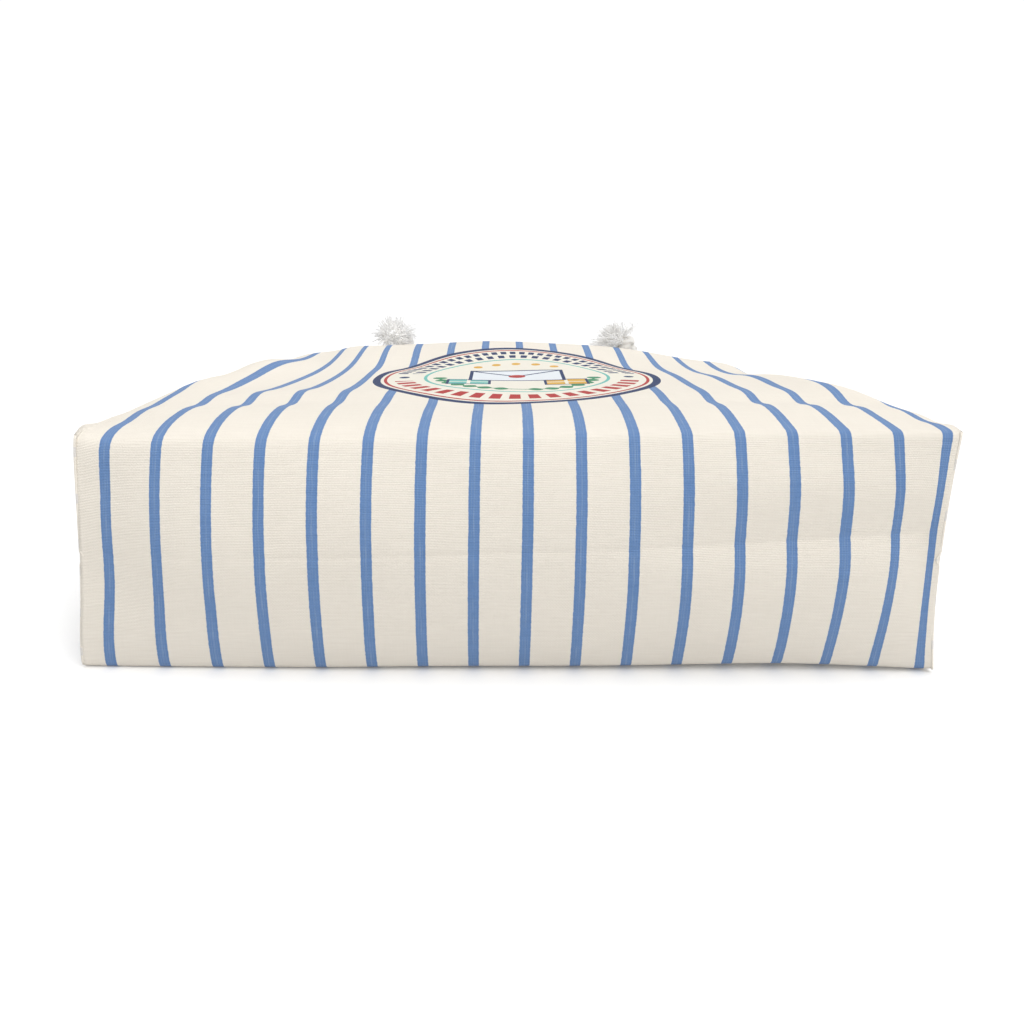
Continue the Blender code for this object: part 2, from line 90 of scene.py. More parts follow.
# ---------------------------------------------------------------- camera
def camera():
    """The viewpoint: low in front of the bottom, looking a little down, with a slight roll."""
    lens, sensor = 29.6965, 36  # mm
    down, turn, roll = (math.radians(a) for a in (18.757, 0.945, 1.139))
    ahead = Vector((math.sin(turn) * math.cos(down), math.cos(turn) * math.cos(down), -math.sin(down)))
    level = Vector((math.cos(turn), -math.sin(turn), 0))
    upright = level.cross(ahead)
    across = level * math.cos(roll) + upright * math.sin(roll)
    up = upright * math.cos(roll) - level * math.sin(roll)
    data = bpy.data.cameras.new("camera")
    data.sensor_width = sensor
    data.lens = lens
    data.clip_start = 0.01
    made = bpy.data.objects.new("camera", data)
    bpy.context.scene.collection.objects.link(made)
    place = Matrix.Translation((-0.0093, Y_EDGE - 0.4271, 0.2379))
    made.matrix_world = place @ Matrix((across, up, -ahead)).transposed().to_4x4()
    bpy.context.scene.camera = made


# ---------------------------------------------------------------- mesh helpers
def new_object(name, vertices, faces, materials, uv=None, smooth=True):
    """A mesh object at the origin. uv gives each vertex's place on the cloth or along the rope."""
    mesh = bpy.data.meshes.new(name)
    mesh.from_pydata(np.asarray(vertices).tolist(), [], [list(f) for f in faces])
    if uv is not None:
        corner = np.zeros(len(mesh.loops), np.int32)
        mesh.loops.foreach_get("vertex_index", corner)
        layer = mesh.uv_layers.new(name="cloth")
        layer.data.foreach_set("uv", np.asarray(uv, np.float32)[corner].ravel())
    if smooth:
        mesh.shade_smooth()
    for finish in materials:
        mesh.materials.append(finish)
    made = bpy.data.objects.new(name, mesh)
    bpy.context.scene.collection.objects.link(made)
    return made


def grid_faces(rows, columns, start=0, closed=False):
    """The quads of a grid of rows by columns, whose columns join up when closed."""
    number = start + np.arange(rows * columns).reshape(rows, columns)
    if closed:
        number = np.hstack([number, number[:, :1]])
    quads = np.stack([number[:-1, :-1], number[:-1, 1:], number[1:, 1:], number[1:, :-1]], axis=-1)
    return quads.reshape(-1, 4)


def smooth_curve(points, per_span=24):
    """A Catmull-Rom curve through the points, as a dense list of points."""
    pts = np.array(points, float)
    ends = np.vstack([2 * pts[0] - pts[1], pts, 2 * pts[-1] - pts[-2]])
    t = np.linspace(0, 1, per_span, endpoint=False)[:, None]
    spans = [0.5 * (2 * b + (c - a) * t + (2 * a - 5 * b + 4 * c - d) * t**2 + (3 * b - a - 3 * c + d) * t**3)
             for a, b, c, d in zip(ends[:-3], ends[1:-2], ends[2:-1], ends[3:])]
    return np.vstack(spans + [pts[-1:]])


def even_steps(curve, step):
    """The curve again, with points an equal distance apart that is close to step."""
    travelled = np.concatenate([[0], np.cumsum(np.linalg.norm(np.diff(curve, axis=0), axis=1))])
    places = np.linspace(0, travelled[-1], max(3, round(travelled[-1] / step) + 1))
    return np.stack([np.interp(places, travelled, axis) for axis in curve.T], axis=1)


def carried_frames(path):
    """Two unit vectors across a path at each of its points, carried along without twist."""
    along = np.gradient(path, axis=0)
    along /= np.linalg.norm(along, axis=1)[:, None]
    side = np.cross(along[0], (0.3, 0.2, 0.93))
    first = []
    for direction in along:
        side = side - direction * (side @ direction)
        side = side / np.linalg.norm(side)
        first.append(side)
    first = np.array(first)
    return first, np.cross(along, first), along


def bell(x, middle, width):
    """A smooth hump of height 1 at middle, falling away over width."""
    return np.exp(-(((x - middle) / width) ** 2))


def clipped_step(value, start, end):
    """Rises smoothly from 0 at the start to 1 at the end."""
    t = np.clip((value - start) / (end - start), 0, 1)
    return t * t * (3 - 2 * t)


# ---------------------------------------------------------------- the cloth's shape
UPPER_CURVE = smooth_curve(UPPER_LINE)


def quarter(half_width, half_height, power, steps=501):
    """One quarter of the superellipse |x/w|^n + |z/h|^n = 1, sampled by even angles of its unit shape, from the
    top's middle to the side: x, z and the distance round to each point."""
    angle = np.linspace(0, math.pi / 2, steps)
    x, z = np.sin(angle), np.cos(angle)
    size = (x**power + z**power) ** (-1 / power)
    x, z = half_width * x * size, half_height * z * size
    return x, z, np.concatenate([[0], np.cumsum(np.hypot(np.diff(x), np.diff(z)))])


def section(along):
    """Half width, half height, middle height and squareness of the sack at a distance along it. The width is
    the one that gives the section the cloth's girth, less a little slack behind the boxed bottom's ends."""
    top = DEPTH + np.interp(along / LENGTH, UPPER_CURVE[:, 0], UPPER_CURVE[:, 1])
    bottom = MOUTH_LIFT * (max(0.0, along - REST_LENGTH) / (LIFT_ALONG - REST_LENGTH)) ** 1.5
    half_height = (top - bottom) / 2
    power = 2.0 + 10.0 * math.exp(-along / SQUARE_FADE) + 300.0 * math.exp(-along / 0.006)
    girth = HALF_GIRTH - (HALF_GIRTH - CORNER - DEPTH / 2) * math.exp(-((along / 0.045) ** 2))
    low, high = 0.18, 0.305
    for _ in range(32):
        half_width = (low + high) / 2
        if quarter(half_width, half_height, power)[2][-1] < girth:
            low = half_width
        else:
            high = half_width
    return half_width, half_height, (top + bottom) / 2, power


def settle(x, along, z):
    """The section's points as the sack lies: its bottom leans out at the table and is wider there, and the
    whole rises a little from left to right. Humps move the ends and the sides a few millimetres in or out,
    lift the lower edge off the table, and press the crease of the upper edge down, more on the left."""
    up = z / DEPTH
    near = np.exp(-along / SQUARE_FADE)
    close = np.exp(-along / 0.05)
    right = np.clip(x / CORNER, 0, 1.1) ** 4 * 0.0015 * bell(up, 1, 0.5)
    left = np.clip(-x / 0.2139, 0, 1) ** 4 * (0.0016 - 0.0009 * bell(up, 1, 0.2) - 0.0058 * bell(up, 0, 0.30))
    lift = (0.0038 * bell(x, 0.150, 0.085) + 0.0018 * bell(x, -0.01, 0.11)) * bell(along, 0, 0.03) * (1 - up)
    back = 0.0050 * np.clip((x + 0.10) / 0.25, 0, 1) * (1 - up) * close
    sway = (0.0026 * bell(x, 0.130, 0.09) * (1 - up) + 0.0030 * bell(x, 0.195, 0.03) * bell(up, 0.65, 0.35)
            - 0.0017 * bell(x, -0.130, 0.07) * bell(up, 1, 0.35))
    pressed = 0.0020 + 0.0021 * np.clip((0.02 - x) / 0.10, 0, 1) - 0.0018 * np.clip((x - 0.02) / 0.10, 0, 1)
    pressed = pressed * (1 - 0.4 * bell(x, -0.229, 0.008)) * np.exp(-along / 0.0085) * np.clip(up, 0, 1) ** 2
    lower = 1 - 0.0125 * np.exp(-along / 0.015)
    return np.stack([
        x * (1 + SPREAD * (1 - up) * near) + (left - right + sway) * close,
        Y_EDGE + along - LEAN * (1 - up) * (1 - along / LENGTH) + back,
        z * (1 + SIDE_TILT * x / DEPTH) * lower + lift - pressed,
    ], axis=-1)


def panel(rounds, alongs, side):
    """A grid of points on the front (side 1) or back (-1), one row for each distance along."""
    rows = []
    for along in alongs:
        half_width, half_height, middle, power = section(along)
        x, z, travelled = quarter(half_width, half_height, power)
        shift = SHIFT * math.exp(-along / 0.08)
        off = np.abs(rounds - shift)
        whole = HALF_GIRTH - shift * np.sign(rounds)
        place = off + np.clip((off - CORNER) / (whole - CORNER), 0, 1) * (travelled[-1] - whole)
        across = np.interp(place, travelled, x) * np.sign(rounds - shift) + shift
        height = middle + side * np.interp(place, travelled, z)
        rows.append(settle(across, np.full_like(across, along), height))
    return np.array(rows)


def outward(grid, side):
    """Unit normals of a panel's grid, out of the sack."""
    out = np.cross(np.gradient(grid, axis=1), np.gradient(grid, axis=0)) * side
    return out / (np.linalg.norm(out, axis=-1)[..., None] + 1e-12)


def gathered(round_, along):
    """How far the front panel is drawn sideways near its mouth: the cloth left of the left eyelet is bunched
    towards it and the right of it a little less, each fading to nothing at the side seam."""
    towards = 0
    for hand, start, full, amount in ((-1, 0.085, 0.185, 0.024), (1, 0.060, 0.150, 0.006)):
        drawn = -hand * amount * clipped_step(round_ * hand, start, full)
        towards = towards + drawn * (1 - clipped_step(round_ * hand, full + 0.015, HALF_GIRTH))
    return towards * clipped_step(along, 0.07, 0.27)


def skin(side, rounds, alongs, inset=0.0):
    """The panel with its dents, its gathers and its pinched side seams. The inset is a depth below the outer
    face, for each distance along or for all of them; a distance may come more than once and in any order."""
    ordered, back = np.unique(alongs, return_inverse=True)
    grid = panel(rounds, ordered, side)
    wide, deep = np.meshgrid(rounds, ordered)
    if side > 0:
        grid[..., 0] += gathered(wide, deep)
    free = np.clip((HALF_GIRTH - np.abs(wide)) / 0.020, 0, 1)
    dents = (front_dents if side > 0 else back_dents)(wide, deep)
    seam = 0.0016 * bell(np.abs(wide), HALF_GIRTH, 0.0024) * (1 + 0.35 * np.sin(deep / 0.0012))
    grid = grid + outward(grid, side) * (dents * free - seam)[..., None]
    depth = np.broadcast_to(np.asarray(inset, float).reshape(-1, 1), (len(alongs), len(rounds)))
    return grid[back] - outward(grid, side)[back] * depth[..., None]


def spot(side, round_, along):
    """A point of the cloth with its axes: across, along and outward."""
    step = 0.002
    grid = skin(side, round_ + step * np.arange(-1, 2), along + step * np.arange(-1, 2))
    across = grid[1, 2] - grid[1, 0]
    across /= np.linalg.norm(across)
    out = outward(grid, side)[1, 1]
    run = np.cross(out, across)
    run *= np.sign(run[1])
    return grid[1, 1], across, run / np.linalg.norm(run), out


FRONT_HUMPS = [  # height, its middle round the cloth and width, its middle along the cloth and length
    (0.0032, -0.060, 0.110, 0.280, 0.070),  # the crest before the mouth
    (0.0045, -0.232, 0.030, 0.130, 0.060),  # the shoulders over the ridges
    (0.0045, 0.250, 0.030, 0.130, 0.060),
    (0.0110, -0.200, 0.024, 0.195, 0.045),  # the left ridge, filled out towards the mouth
    (0.0040, -0.215, 0.030, 0.265, 0.050),
    (0.0032, -0.152, 0.028, 0.285, 0.050),
    (0.0035, -0.212, 0.020, 0.128, 0.024),
    (0.0030, 0.170, 0.060, 0.165, 0.040),  # the right ridge
    (-0.0020, -0.240, 0.020, 0.075, 0.030),  # slack by the bottom's corners
    (-0.0026, 0.242, 0.020, 0.095, 0.022),
    (-0.0022, -0.215, 0.022, 0.024, 0.020),
    (-0.0022, 0.215, 0.022, 0.024, 0.020),
    (-0.0042, -0.085, 0.030, 0.225, 0.030),  # hollows before the mouth
    (-0.0025, 0.090, 0.030, 0.225, 0.030),
    (0.0016, -0.140, 0.050, 0.090, 0.020),  # a low ridge across the panel, behind the trough
    (0.00048, 0.155, 0.060, 0.090, 0.020),
    (-0.0028, -0.018, 0.045, 0.062, 0.028),  # the trough's middle
]


def front_dents(round_, along):
    """The front panel's own shape over the plain section: the sum of the humps above, a trough across it
    behind the bottom edge, a fall on the right of the crest, and a keel on each side, where the top turns
    down into the side, with the cloth beyond it falling away. Ripples and the mouth's waves come last."""
    soft = sum(height * bell(round_, middle, width) * bell(along, start, length)
               for height, middle, width, start, length in FRONT_HUMPS)
    soft = soft - 0.0028 * bell(along, 0.058 + 0.060 * np.abs(round_), 0.015) * (
        bell(round_, -0.150, 0.060) + 1.15 * bell(round_, 0.165, 0.075))
    soft = soft - 0.0085 * bell(round_, 0.175, 0.065) * bell(np.maximum(0.28 - along, 0), 0, 0.08)

    wide = np.abs(round_)
    turn = 0.184 + np.where(round_ < 0, 0.008, 0) + 0.046 * np.exp(-np.maximum(along - 0.06, 0) / 0.055)
    begun = np.clip((along - 0.06) / 0.08, 0, 1)
    keel = 0.004 * begun * (1 - 0.55 * np.clip((along - 0.16) / 0.12, 0, 1))
    near = np.where(round_ > 0, 0.003, -0.0015) * bell(along, 0.105, 0.030)
    beyond = 0.012 * begun / (1 + np.exp(-(wide - turn - 0.022) / 0.006))
    beyond = beyond * np.clip((HALF_GIRTH - wide) / 0.05, 0, 1)
    soft = soft + keel * bell(wide, turn, 0.020) + near * bell(wide, turn, 0.018) - beyond

    ripples = 0.0007 * np.sin(along / 0.031 + 3 * np.sin(round_ / 0.07)) * np.sin(round_ / 0.043 + 1.3)
    waves = 0.0018 * bell(along, LENGTH, 0.055) * np.sin(round_ / 0.036 + 0.8) * np.sin(round_ / 0.081 + 2.0)
    return soft + ripples * np.clip(along / 0.02, 0, 1) + waves


def back_dents(round_, along):
    """The back lies flat at the bottom edge and ripples a little towards the mouth."""
    free = np.clip((along - 0.10) / 0.12, 0, 1) ** 2
    return free * 0.0016 * np.sin(round_ / 0.039 + 0.5) * np.sin(along / 0.05 + round_ / 0.06)


def bottom_surface(round_, up):
    """The boxed bottom: it swells most at mid height and in the middle, with a pressed fold across it that is
    a faint line on the left and a blunt valley on the right, and a dent near each end. Its upper edge has the
    front panel's dents, so that the two stay joined."""
    share = np.abs(round_) / np.where(round_ > 0, RIGHT_END, LEFT_END)
    swell = BULGE * 4 * up * (1 - up) * (1 - 0.70 * share**4)
    level = 0.562 + 0.15 * round_ + 0.02 * np.clip((round_ - 0.12) / 0.1, 0, 1)
    off = up - level
    right = np.clip((round_ - 0.03) / 0.13, 0, 1)
    blunt = np.sqrt(off**2 + 0.045**2) - 0.045
    valley = np.exp(-blunt / np.where(off > 0, 0.115, 0.060))
    line = np.exp(-np.abs(off) / 0.012) * (1 - 0.8 * bell(round_, -0.165, 0.040))
    fold = -0.0046 * right * valley - 0.0006 * line
    shelf = 0.0016 * right * bell(up, 0.80, 0.10) - 0.0010 * (1 - right) * bell(up, 0.28, 0.16)
    dent_left = 0.0058 * bell(round_, -0.226, 0.026) * bell(up, 0.42, 0.17) + 0.0030 * (
        bell(round_, -0.220, 0.014) * bell(up, 0.82, 0.11))
    dent_right = 0.0052 * bell(round_, 0.228, 0.026) * bell(up, 0.52, 0.20)
    small = 0.0005 * np.sin(round_ / 0.027 + 1.0) * np.sin(up * 9 + round_ / 0.05)
    inner = np.clip(1 - share**8, 0, 1) * np.clip(12 * up * (1 - up), 0, 1)
    forward = swell + (fold + shelf - dent_left - dent_right + small) * inner
    pull = (4 * up * (1 - up)) * np.clip((np.abs(round_) - 0.185) / 0.05, 0, 1) ** 2
    x = round_ - np.where(round_ > 0, 0.0085, 0.0) * pull  # the right end is drawn in at mid height
    place = settle(x, np.zeros_like(x), up * DEPTH)
    place[..., 1] -= forward
    place[..., 2] += front_dents(round_, np.zeros_like(round_)) * up
    return place


def rounded_edges(grid, edge_rows, radius_rows, passes):
    """Softens the folds of a grid: rows near each edge row are averaged with their neighbours."""
    row = np.arange(len(grid))[:, None, None]
    weight = sum(bell(row, edge, radius_rows) for edge in edge_rows)
    for _ in range(passes):
        mean = grid.copy()
        mean[1:-1] = 0.25 * grid[:-2] + 0.5 * grid[1:-1] + 0.25 * grid[2:]
        grid = grid + (mean - grid) * np.clip(weight, 0, 1)
    return grid


def spaced(*spans):
    """Distances along a line: each span is (start, end, step)."""
    parts = [np.linspace(a, b, max(2, round((b - a) / step) + 1)) for a, b, step in spans]
    return np.unique(np.round(np.concatenate(parts), 7))


EYELET_ROUND = 0.100
EYELET_ALONG = 0.311
# steps round and along the cloth, finer at the eyelets, the corners, the seams and the edges
INNER = [spaced((0, 0.088, 0.0050), (0.088, 0.112, 0.0016), (0.112, 0.218, 0.0050), (0.218, end, 0.002))
         for end in (LEFT_END, RIGHT_END)]
OUTER = [spaced((end, 0.242, 0.002), (0.242, 0.299, 0.0048), (0.299, HALF_GIRTH, 0.001))
         for end in (LEFT_END, RIGHT_END)]
ROUND_BOTTOM = np.concatenate([-INNER[0][:0:-1], INNER[1]])
ROUND = np.concatenate([-OUTER[0][:0:-1], ROUND_BOTTOM, OUTER[1][1:]])
ALONG = spaced((0, 0.024, 0.0015), (0.024, 0.300, 0.0048), (0.300, LENGTH, 0.0016))
UP = spaced((0, 0.12, 0.012), (0.12, 0.42, 0.03), (0.42, 0.48, 0.02), (0.48, 0.66, 0.008), (0.66, 0.88, 0.025),
            (0.88, 1, 0.012))  # shares of the bottom's height


def follow_edge(grid, wide, deep, edge, hand):
    """Moves the end of a panel beyond the boxed corner along with the bottom's end: by what the bottom's edge
    is off its ideal line at that height, fading away from the bottom."""
    lean = 1 + SIDE_TILT * grid[..., 0] / DEPTH
    up = np.clip(grid[..., 2] / lean / DEPTH, 0, 1)
    order = np.argsort(edge[:, 2])
    height = edge[order, 2] / (1 + SIDE_TILT * edge[order, 0] / DEPTH) / DEPTH
    end = RIGHT_END if hand > 0 else LEFT_END
    ideal = settle(np.full_like(height, hand * end), np.zeros_like(height), height * DEPTH)
    shift = np.stack([np.interp(up, height, column) for column in (edge[order] - ideal).T], axis=-1)
    near = np.exp(-((deep / 0.028) ** 1.5)) * (wide * hand > end)
    return grid + shift * near[..., None]


def cloth():
    """One length of cloth: down the front, under the fold of the bottom, and up the back, sewn at the sides.
    The strip between the boxed corners runs through all three faces, and the rest of each panel goes on to
    its side seam."""
    wide, deep = np.meshgrid(ROUND, ALONG)
    front, back = skin(1, ROUND, ALONG), skin(-1, ROUND, ALONG)
    rounds, ups = np.meshgrid(ROUND_BOTTOM, UP[::-1])
    under = bottom_surface(rounds, ups)
    start = len(OUTER[0]) - 1
    middle = slice(start, start + len(ROUND_BOTTOM))
    strip = np.concatenate([front[::-1, middle], under[1:-1], back[:, middle]])
    edge_front = len(ALONG) - 1
    edge_back = edge_front + len(UP) - 1
    strip = rounded_edges(strip, (edge_front, edge_back), 2.4, 5)
    under = strip[edge_front:edge_back + 1]
    front[:, middle] = strip[:edge_front + 1][::-1]
    back[:, middle] = strip[edge_back:]
    for hand, column in ((-1, 0), (1, -1)):
        front = follow_edge(front, wide, deep, under[:, column], hand)
        back = follow_edge(back, wide, deep, under[:, column], hand)
        front[:, column] = back[:, column] = (front[:, column] + back[:, column]) / 2
    for grid in (front, under, back):
        grid[..., 2] = np.maximum(grid[..., 2], 0.0)

    parts = [(front, np.stack([wide + 1, LENGTH - deep], axis=-1), True),
             (under, np.stack([rounds + 1, LENGTH + (1 - ups) * DEPTH], axis=-1), False),
             (back, np.stack([wide + 1, LENGTH + DEPTH + deep], axis=-1), False)]
    vertices, uvs, faces, start = [], [], [], 0
    for grid, uv, turn in parts:
        quads = grid_faces(*grid.shape[:2], start)
        if grid.shape[1] == len(ROUND):
            quads = quads[~in_eyelet(wide, deep)]
        faces.append(quads if turn else quads[:, ::-1])
        vertices.append(grid.reshape(-1, 3))
        uvs.append(uv.reshape(-1, 2))
        start += grid.shape[0] * grid.shape[1]
    return np.vstack(vertices), np.vstack(faces), np.vstack(uvs)


def in_eyelet(wide, deep):
    """Which quads of a panel's grid lie under an eyelet's flange and leave its hole open."""
    hole = 0.0093
    off = np.hypot(np.abs(wide) - EYELET_ROUND, deep - EYELET_ALONG)
    far = np.maximum.reduce([off[:-1, :-1], off[:-1, 1:], off[1:, 1:], off[1:, :-1]])
    return (far < hole).ravel()


# ---------------------------------------------------------------- materials
class Nodes:
    """Builds a node tree: each method adds a node and gives back an output socket."""

    def __init__(self, tree):
        self.tree = tree

    def add(self, kind, **settings):
        node = self.tree.nodes.new(kind)
        for key, value in settings.items():
            setattr(node, key, value)
        return node

    def feed(self, socket, value):
        if isinstance(value, bpy.types.NodeSocket):
            self.tree.links.new(value, socket)
        else:
            socket.default_value = value

    def math(self, operation, *values):
        node = self.add("ShaderNodeMath", operation=operation)
        for socket, value in zip(node.inputs, values):
            self.feed(socket, value)
        return node.outputs[0]

    def mix(self, share, a, b):
        node = self.add("ShaderNodeMix", data_type="RGBA")
        self.feed(node.inputs[0], share)
        self.feed(node.inputs[6], a)
        self.feed(node.inputs[7], b)
        return node.outputs[2]

    def ramp(self, value, low, high, out_low=0.0, out_high=1.0):
        """Straight from out_low at low to out_high at high, and level outside them."""
        node = self.add("ShaderNodeMapRange")
        for socket, number in zip(node.inputs, (value, low, high, out_low, out_high)):
            self.feed(socket, number)
        return node.outputs[0]

    def noise(self, vector, scale, detail=2.0, roughness=0.5):
        node = self.add("ShaderNodeTexNoise")
        self.feed(node.inputs["Vector"], vector)
        node.inputs["Scale"].default_value = scale
        node.inputs["Detail"].default_value = detail
        node.inputs["Roughness"].default_value = roughness
        return node.outputs["Fac"]

    def group(self, tree, **inputs):
        node = self.add("ShaderNodeGroup", node_tree=tree)
        for key, value in inputs.items():
            self.feed(node.inputs[key], value)
        return node.outputs

    def split(self, vector):
        node = self.add("ShaderNodeSeparateXYZ")
        self.feed(node.inputs[0], vector)
        return node.outputs

    def join(self, x, y, z=0.0):
        node = self.add("ShaderNodeCombineXYZ")
        for socket, value in zip(node.inputs, (x, y, z)):
            self.feed(socket, value)
        return node.outputs[0]

    def bump(self, height, strength, distance):
        node = self.add("ShaderNodeBump")
        node.inputs["Strength"].default_value = strength
        node.inputs["Distance"].default_value = distance
        self.feed(node.inputs["Height"], height)
        return node.outputs[0]


def new_group(name, inputs, outputs):
    """A shader node group with named sockets: its tree, its Nodes, and its input and output sockets."""
    tree = bpy.data.node_groups.new(name, "ShaderNodeTree")
    for socket, kind in inputs:
        tree.interface.new_socket(name=socket, in_out="INPUT", socket_type=kind)
    for socket, kind in outputs:
        tree.interface.new_socket(name=socket, in_out="OUTPUT", socket_type=kind)
    n = Nodes(tree)
    return tree, n, n.add("NodeGroupInput").outputs, n.add("NodeGroupOutput").inputs


def new_material(name, roughness, metallic=0.0, sheen=0.0):
    """A material with its Nodes and the inputs of its Principled shader."""
    made = bpy.data.materials.new(name)
    made.use_nodes = True
    n = Nodes(made.node_tree)
    shader = made.node_tree.nodes["Principled BSDF"].inputs
    shader["Roughness"].default_value = roughness
    shader["Metallic"].default_value = metallic
    shader["Sheen Weight"].default_value = sheen
    shader["Sheen Roughness"].default_value = 0.5
    return made, n, shader


def weave_group():
    """Plain weave on the cloth's own lengths: Height rises where a thread lies on top, warp along the sack and
    the thicker weft across it in ribs, each thread a little uneven. Tone is the shade of single threads."""
    tree, n, given, out = new_group(
        "plain_weave",
        [("Cloth", "NodeSocketVector"), ("Thread", "NodeSocketFloat")],
        [("Height", "NodeSocketFloat"), ("Tone", "NodeSocketFloat")],
    )
    u, v, _ = n.split(given["Cloth"])
    waver = n.noise(given["Cloth"], 55.0, 2.0)
    warp = n.math("DIVIDE", n.math("MULTIPLY_ADD", waver, 0.0006, u), given["Thread"])
    weft = n.math("DIVIDE", n.math("MULTIPLY_ADD", waver, 0.0009, v), n.math("MULTIPLY", given["Thread"], 1.15))
    over = n.math("SINE", n.math("MULTIPLY", warp, math.pi))
    under = n.math("SINE", n.math("MULTIPLY", weft, math.pi))
    crossing = n.math("MULTIPLY", over, under)
    rib = n.math("ABSOLUTE", under)
    height = n.math("MULTIPLY_ADD", crossing, 0.12, n.math("MULTIPLY", rib, 0.85))
    lines = n.noise(n.join(n.math("MULTIPLY", u, 60.0), n.math("MULTIPLY", v, 1100.0)), 1.0, 1.0)
    cords = n.noise(n.join(n.math("MULTIPLY", u, 1300.0), n.math("MULTIPLY", v, 50.0)), 1.0, 1.0)
    n.feed(out["Height"], n.math("MULTIPLY_ADD", lines, 0.5, height))
    n.feed(out["Tone"], n.math("ADD", n.math("MULTIPLY", lines, 0.65), n.math("MULTIPLY", cords, 0.35)))
    return tree


def stripe_group():
    """Ticking stripes on the cloth's own lengths: Stripe is 1 on the blue, with slightly ragged edges, and Pale
    is 1 on the light threads in its middle."""
    tree, n, given, out = new_group(
        "ticking_stripes", [("Cloth", "NodeSocketVector")],
        [("Stripe", "NodeSocketFloat"), ("Pale", "NodeSocketFloat")],
    )
    u, v, _ = n.split(given["Cloth"])
    ragged = n.noise(n.join(n.math("MULTIPLY", u, 260.0), n.math("MULTIPLY", v, 330.0)), 1.0, 3.0, 0.7)
    drift = n.noise(n.join(n.math("MULTIPLY", u, 9.0), n.math("MULTIPLY", v, 22.0)), 1.0, 1.0)
    moved = n.math("MULTIPLY_ADD", ragged, 0.0007, n.math("MULTIPLY_ADD", drift, 0.0005, u))
    first = 1 + STRIPE_START - PITCH / 2 + 0.0006
    inside = n.math("FRACT", n.math("DIVIDE", n.math("SUBTRACT", moved, first), PITCH))
    off = n.math("MULTIPLY", n.math("ABSOLUTE", n.math("SUBTRACT", inside, 0.5)), PITCH)
    n.feed(out["Stripe"], n.ramp(off, STRIPE_HALF - 0.00012, STRIPE_HALF + 0.00012, 1.0, 0.0))
    threads = n.math("SINE", n.math("MULTIPLY", off, 2 * math.pi / 0.00105))
    fine = n.ramp(threads, 0.55, 0.95)
    middle = n.ramp(off, 0.0010, 0.0017, 1.0, 0.0)
    patches = n.noise(n.join(n.math("MULTIPLY", u, 900.0), n.math("MULTIPLY", v, 60.0)), 1.0, 2.0)
    n.feed(out["Pale"], n.math("MULTIPLY", n.math("MULTIPLY", fine, middle), n.ramp(patches, 0.35, 0.65)))
    return tree


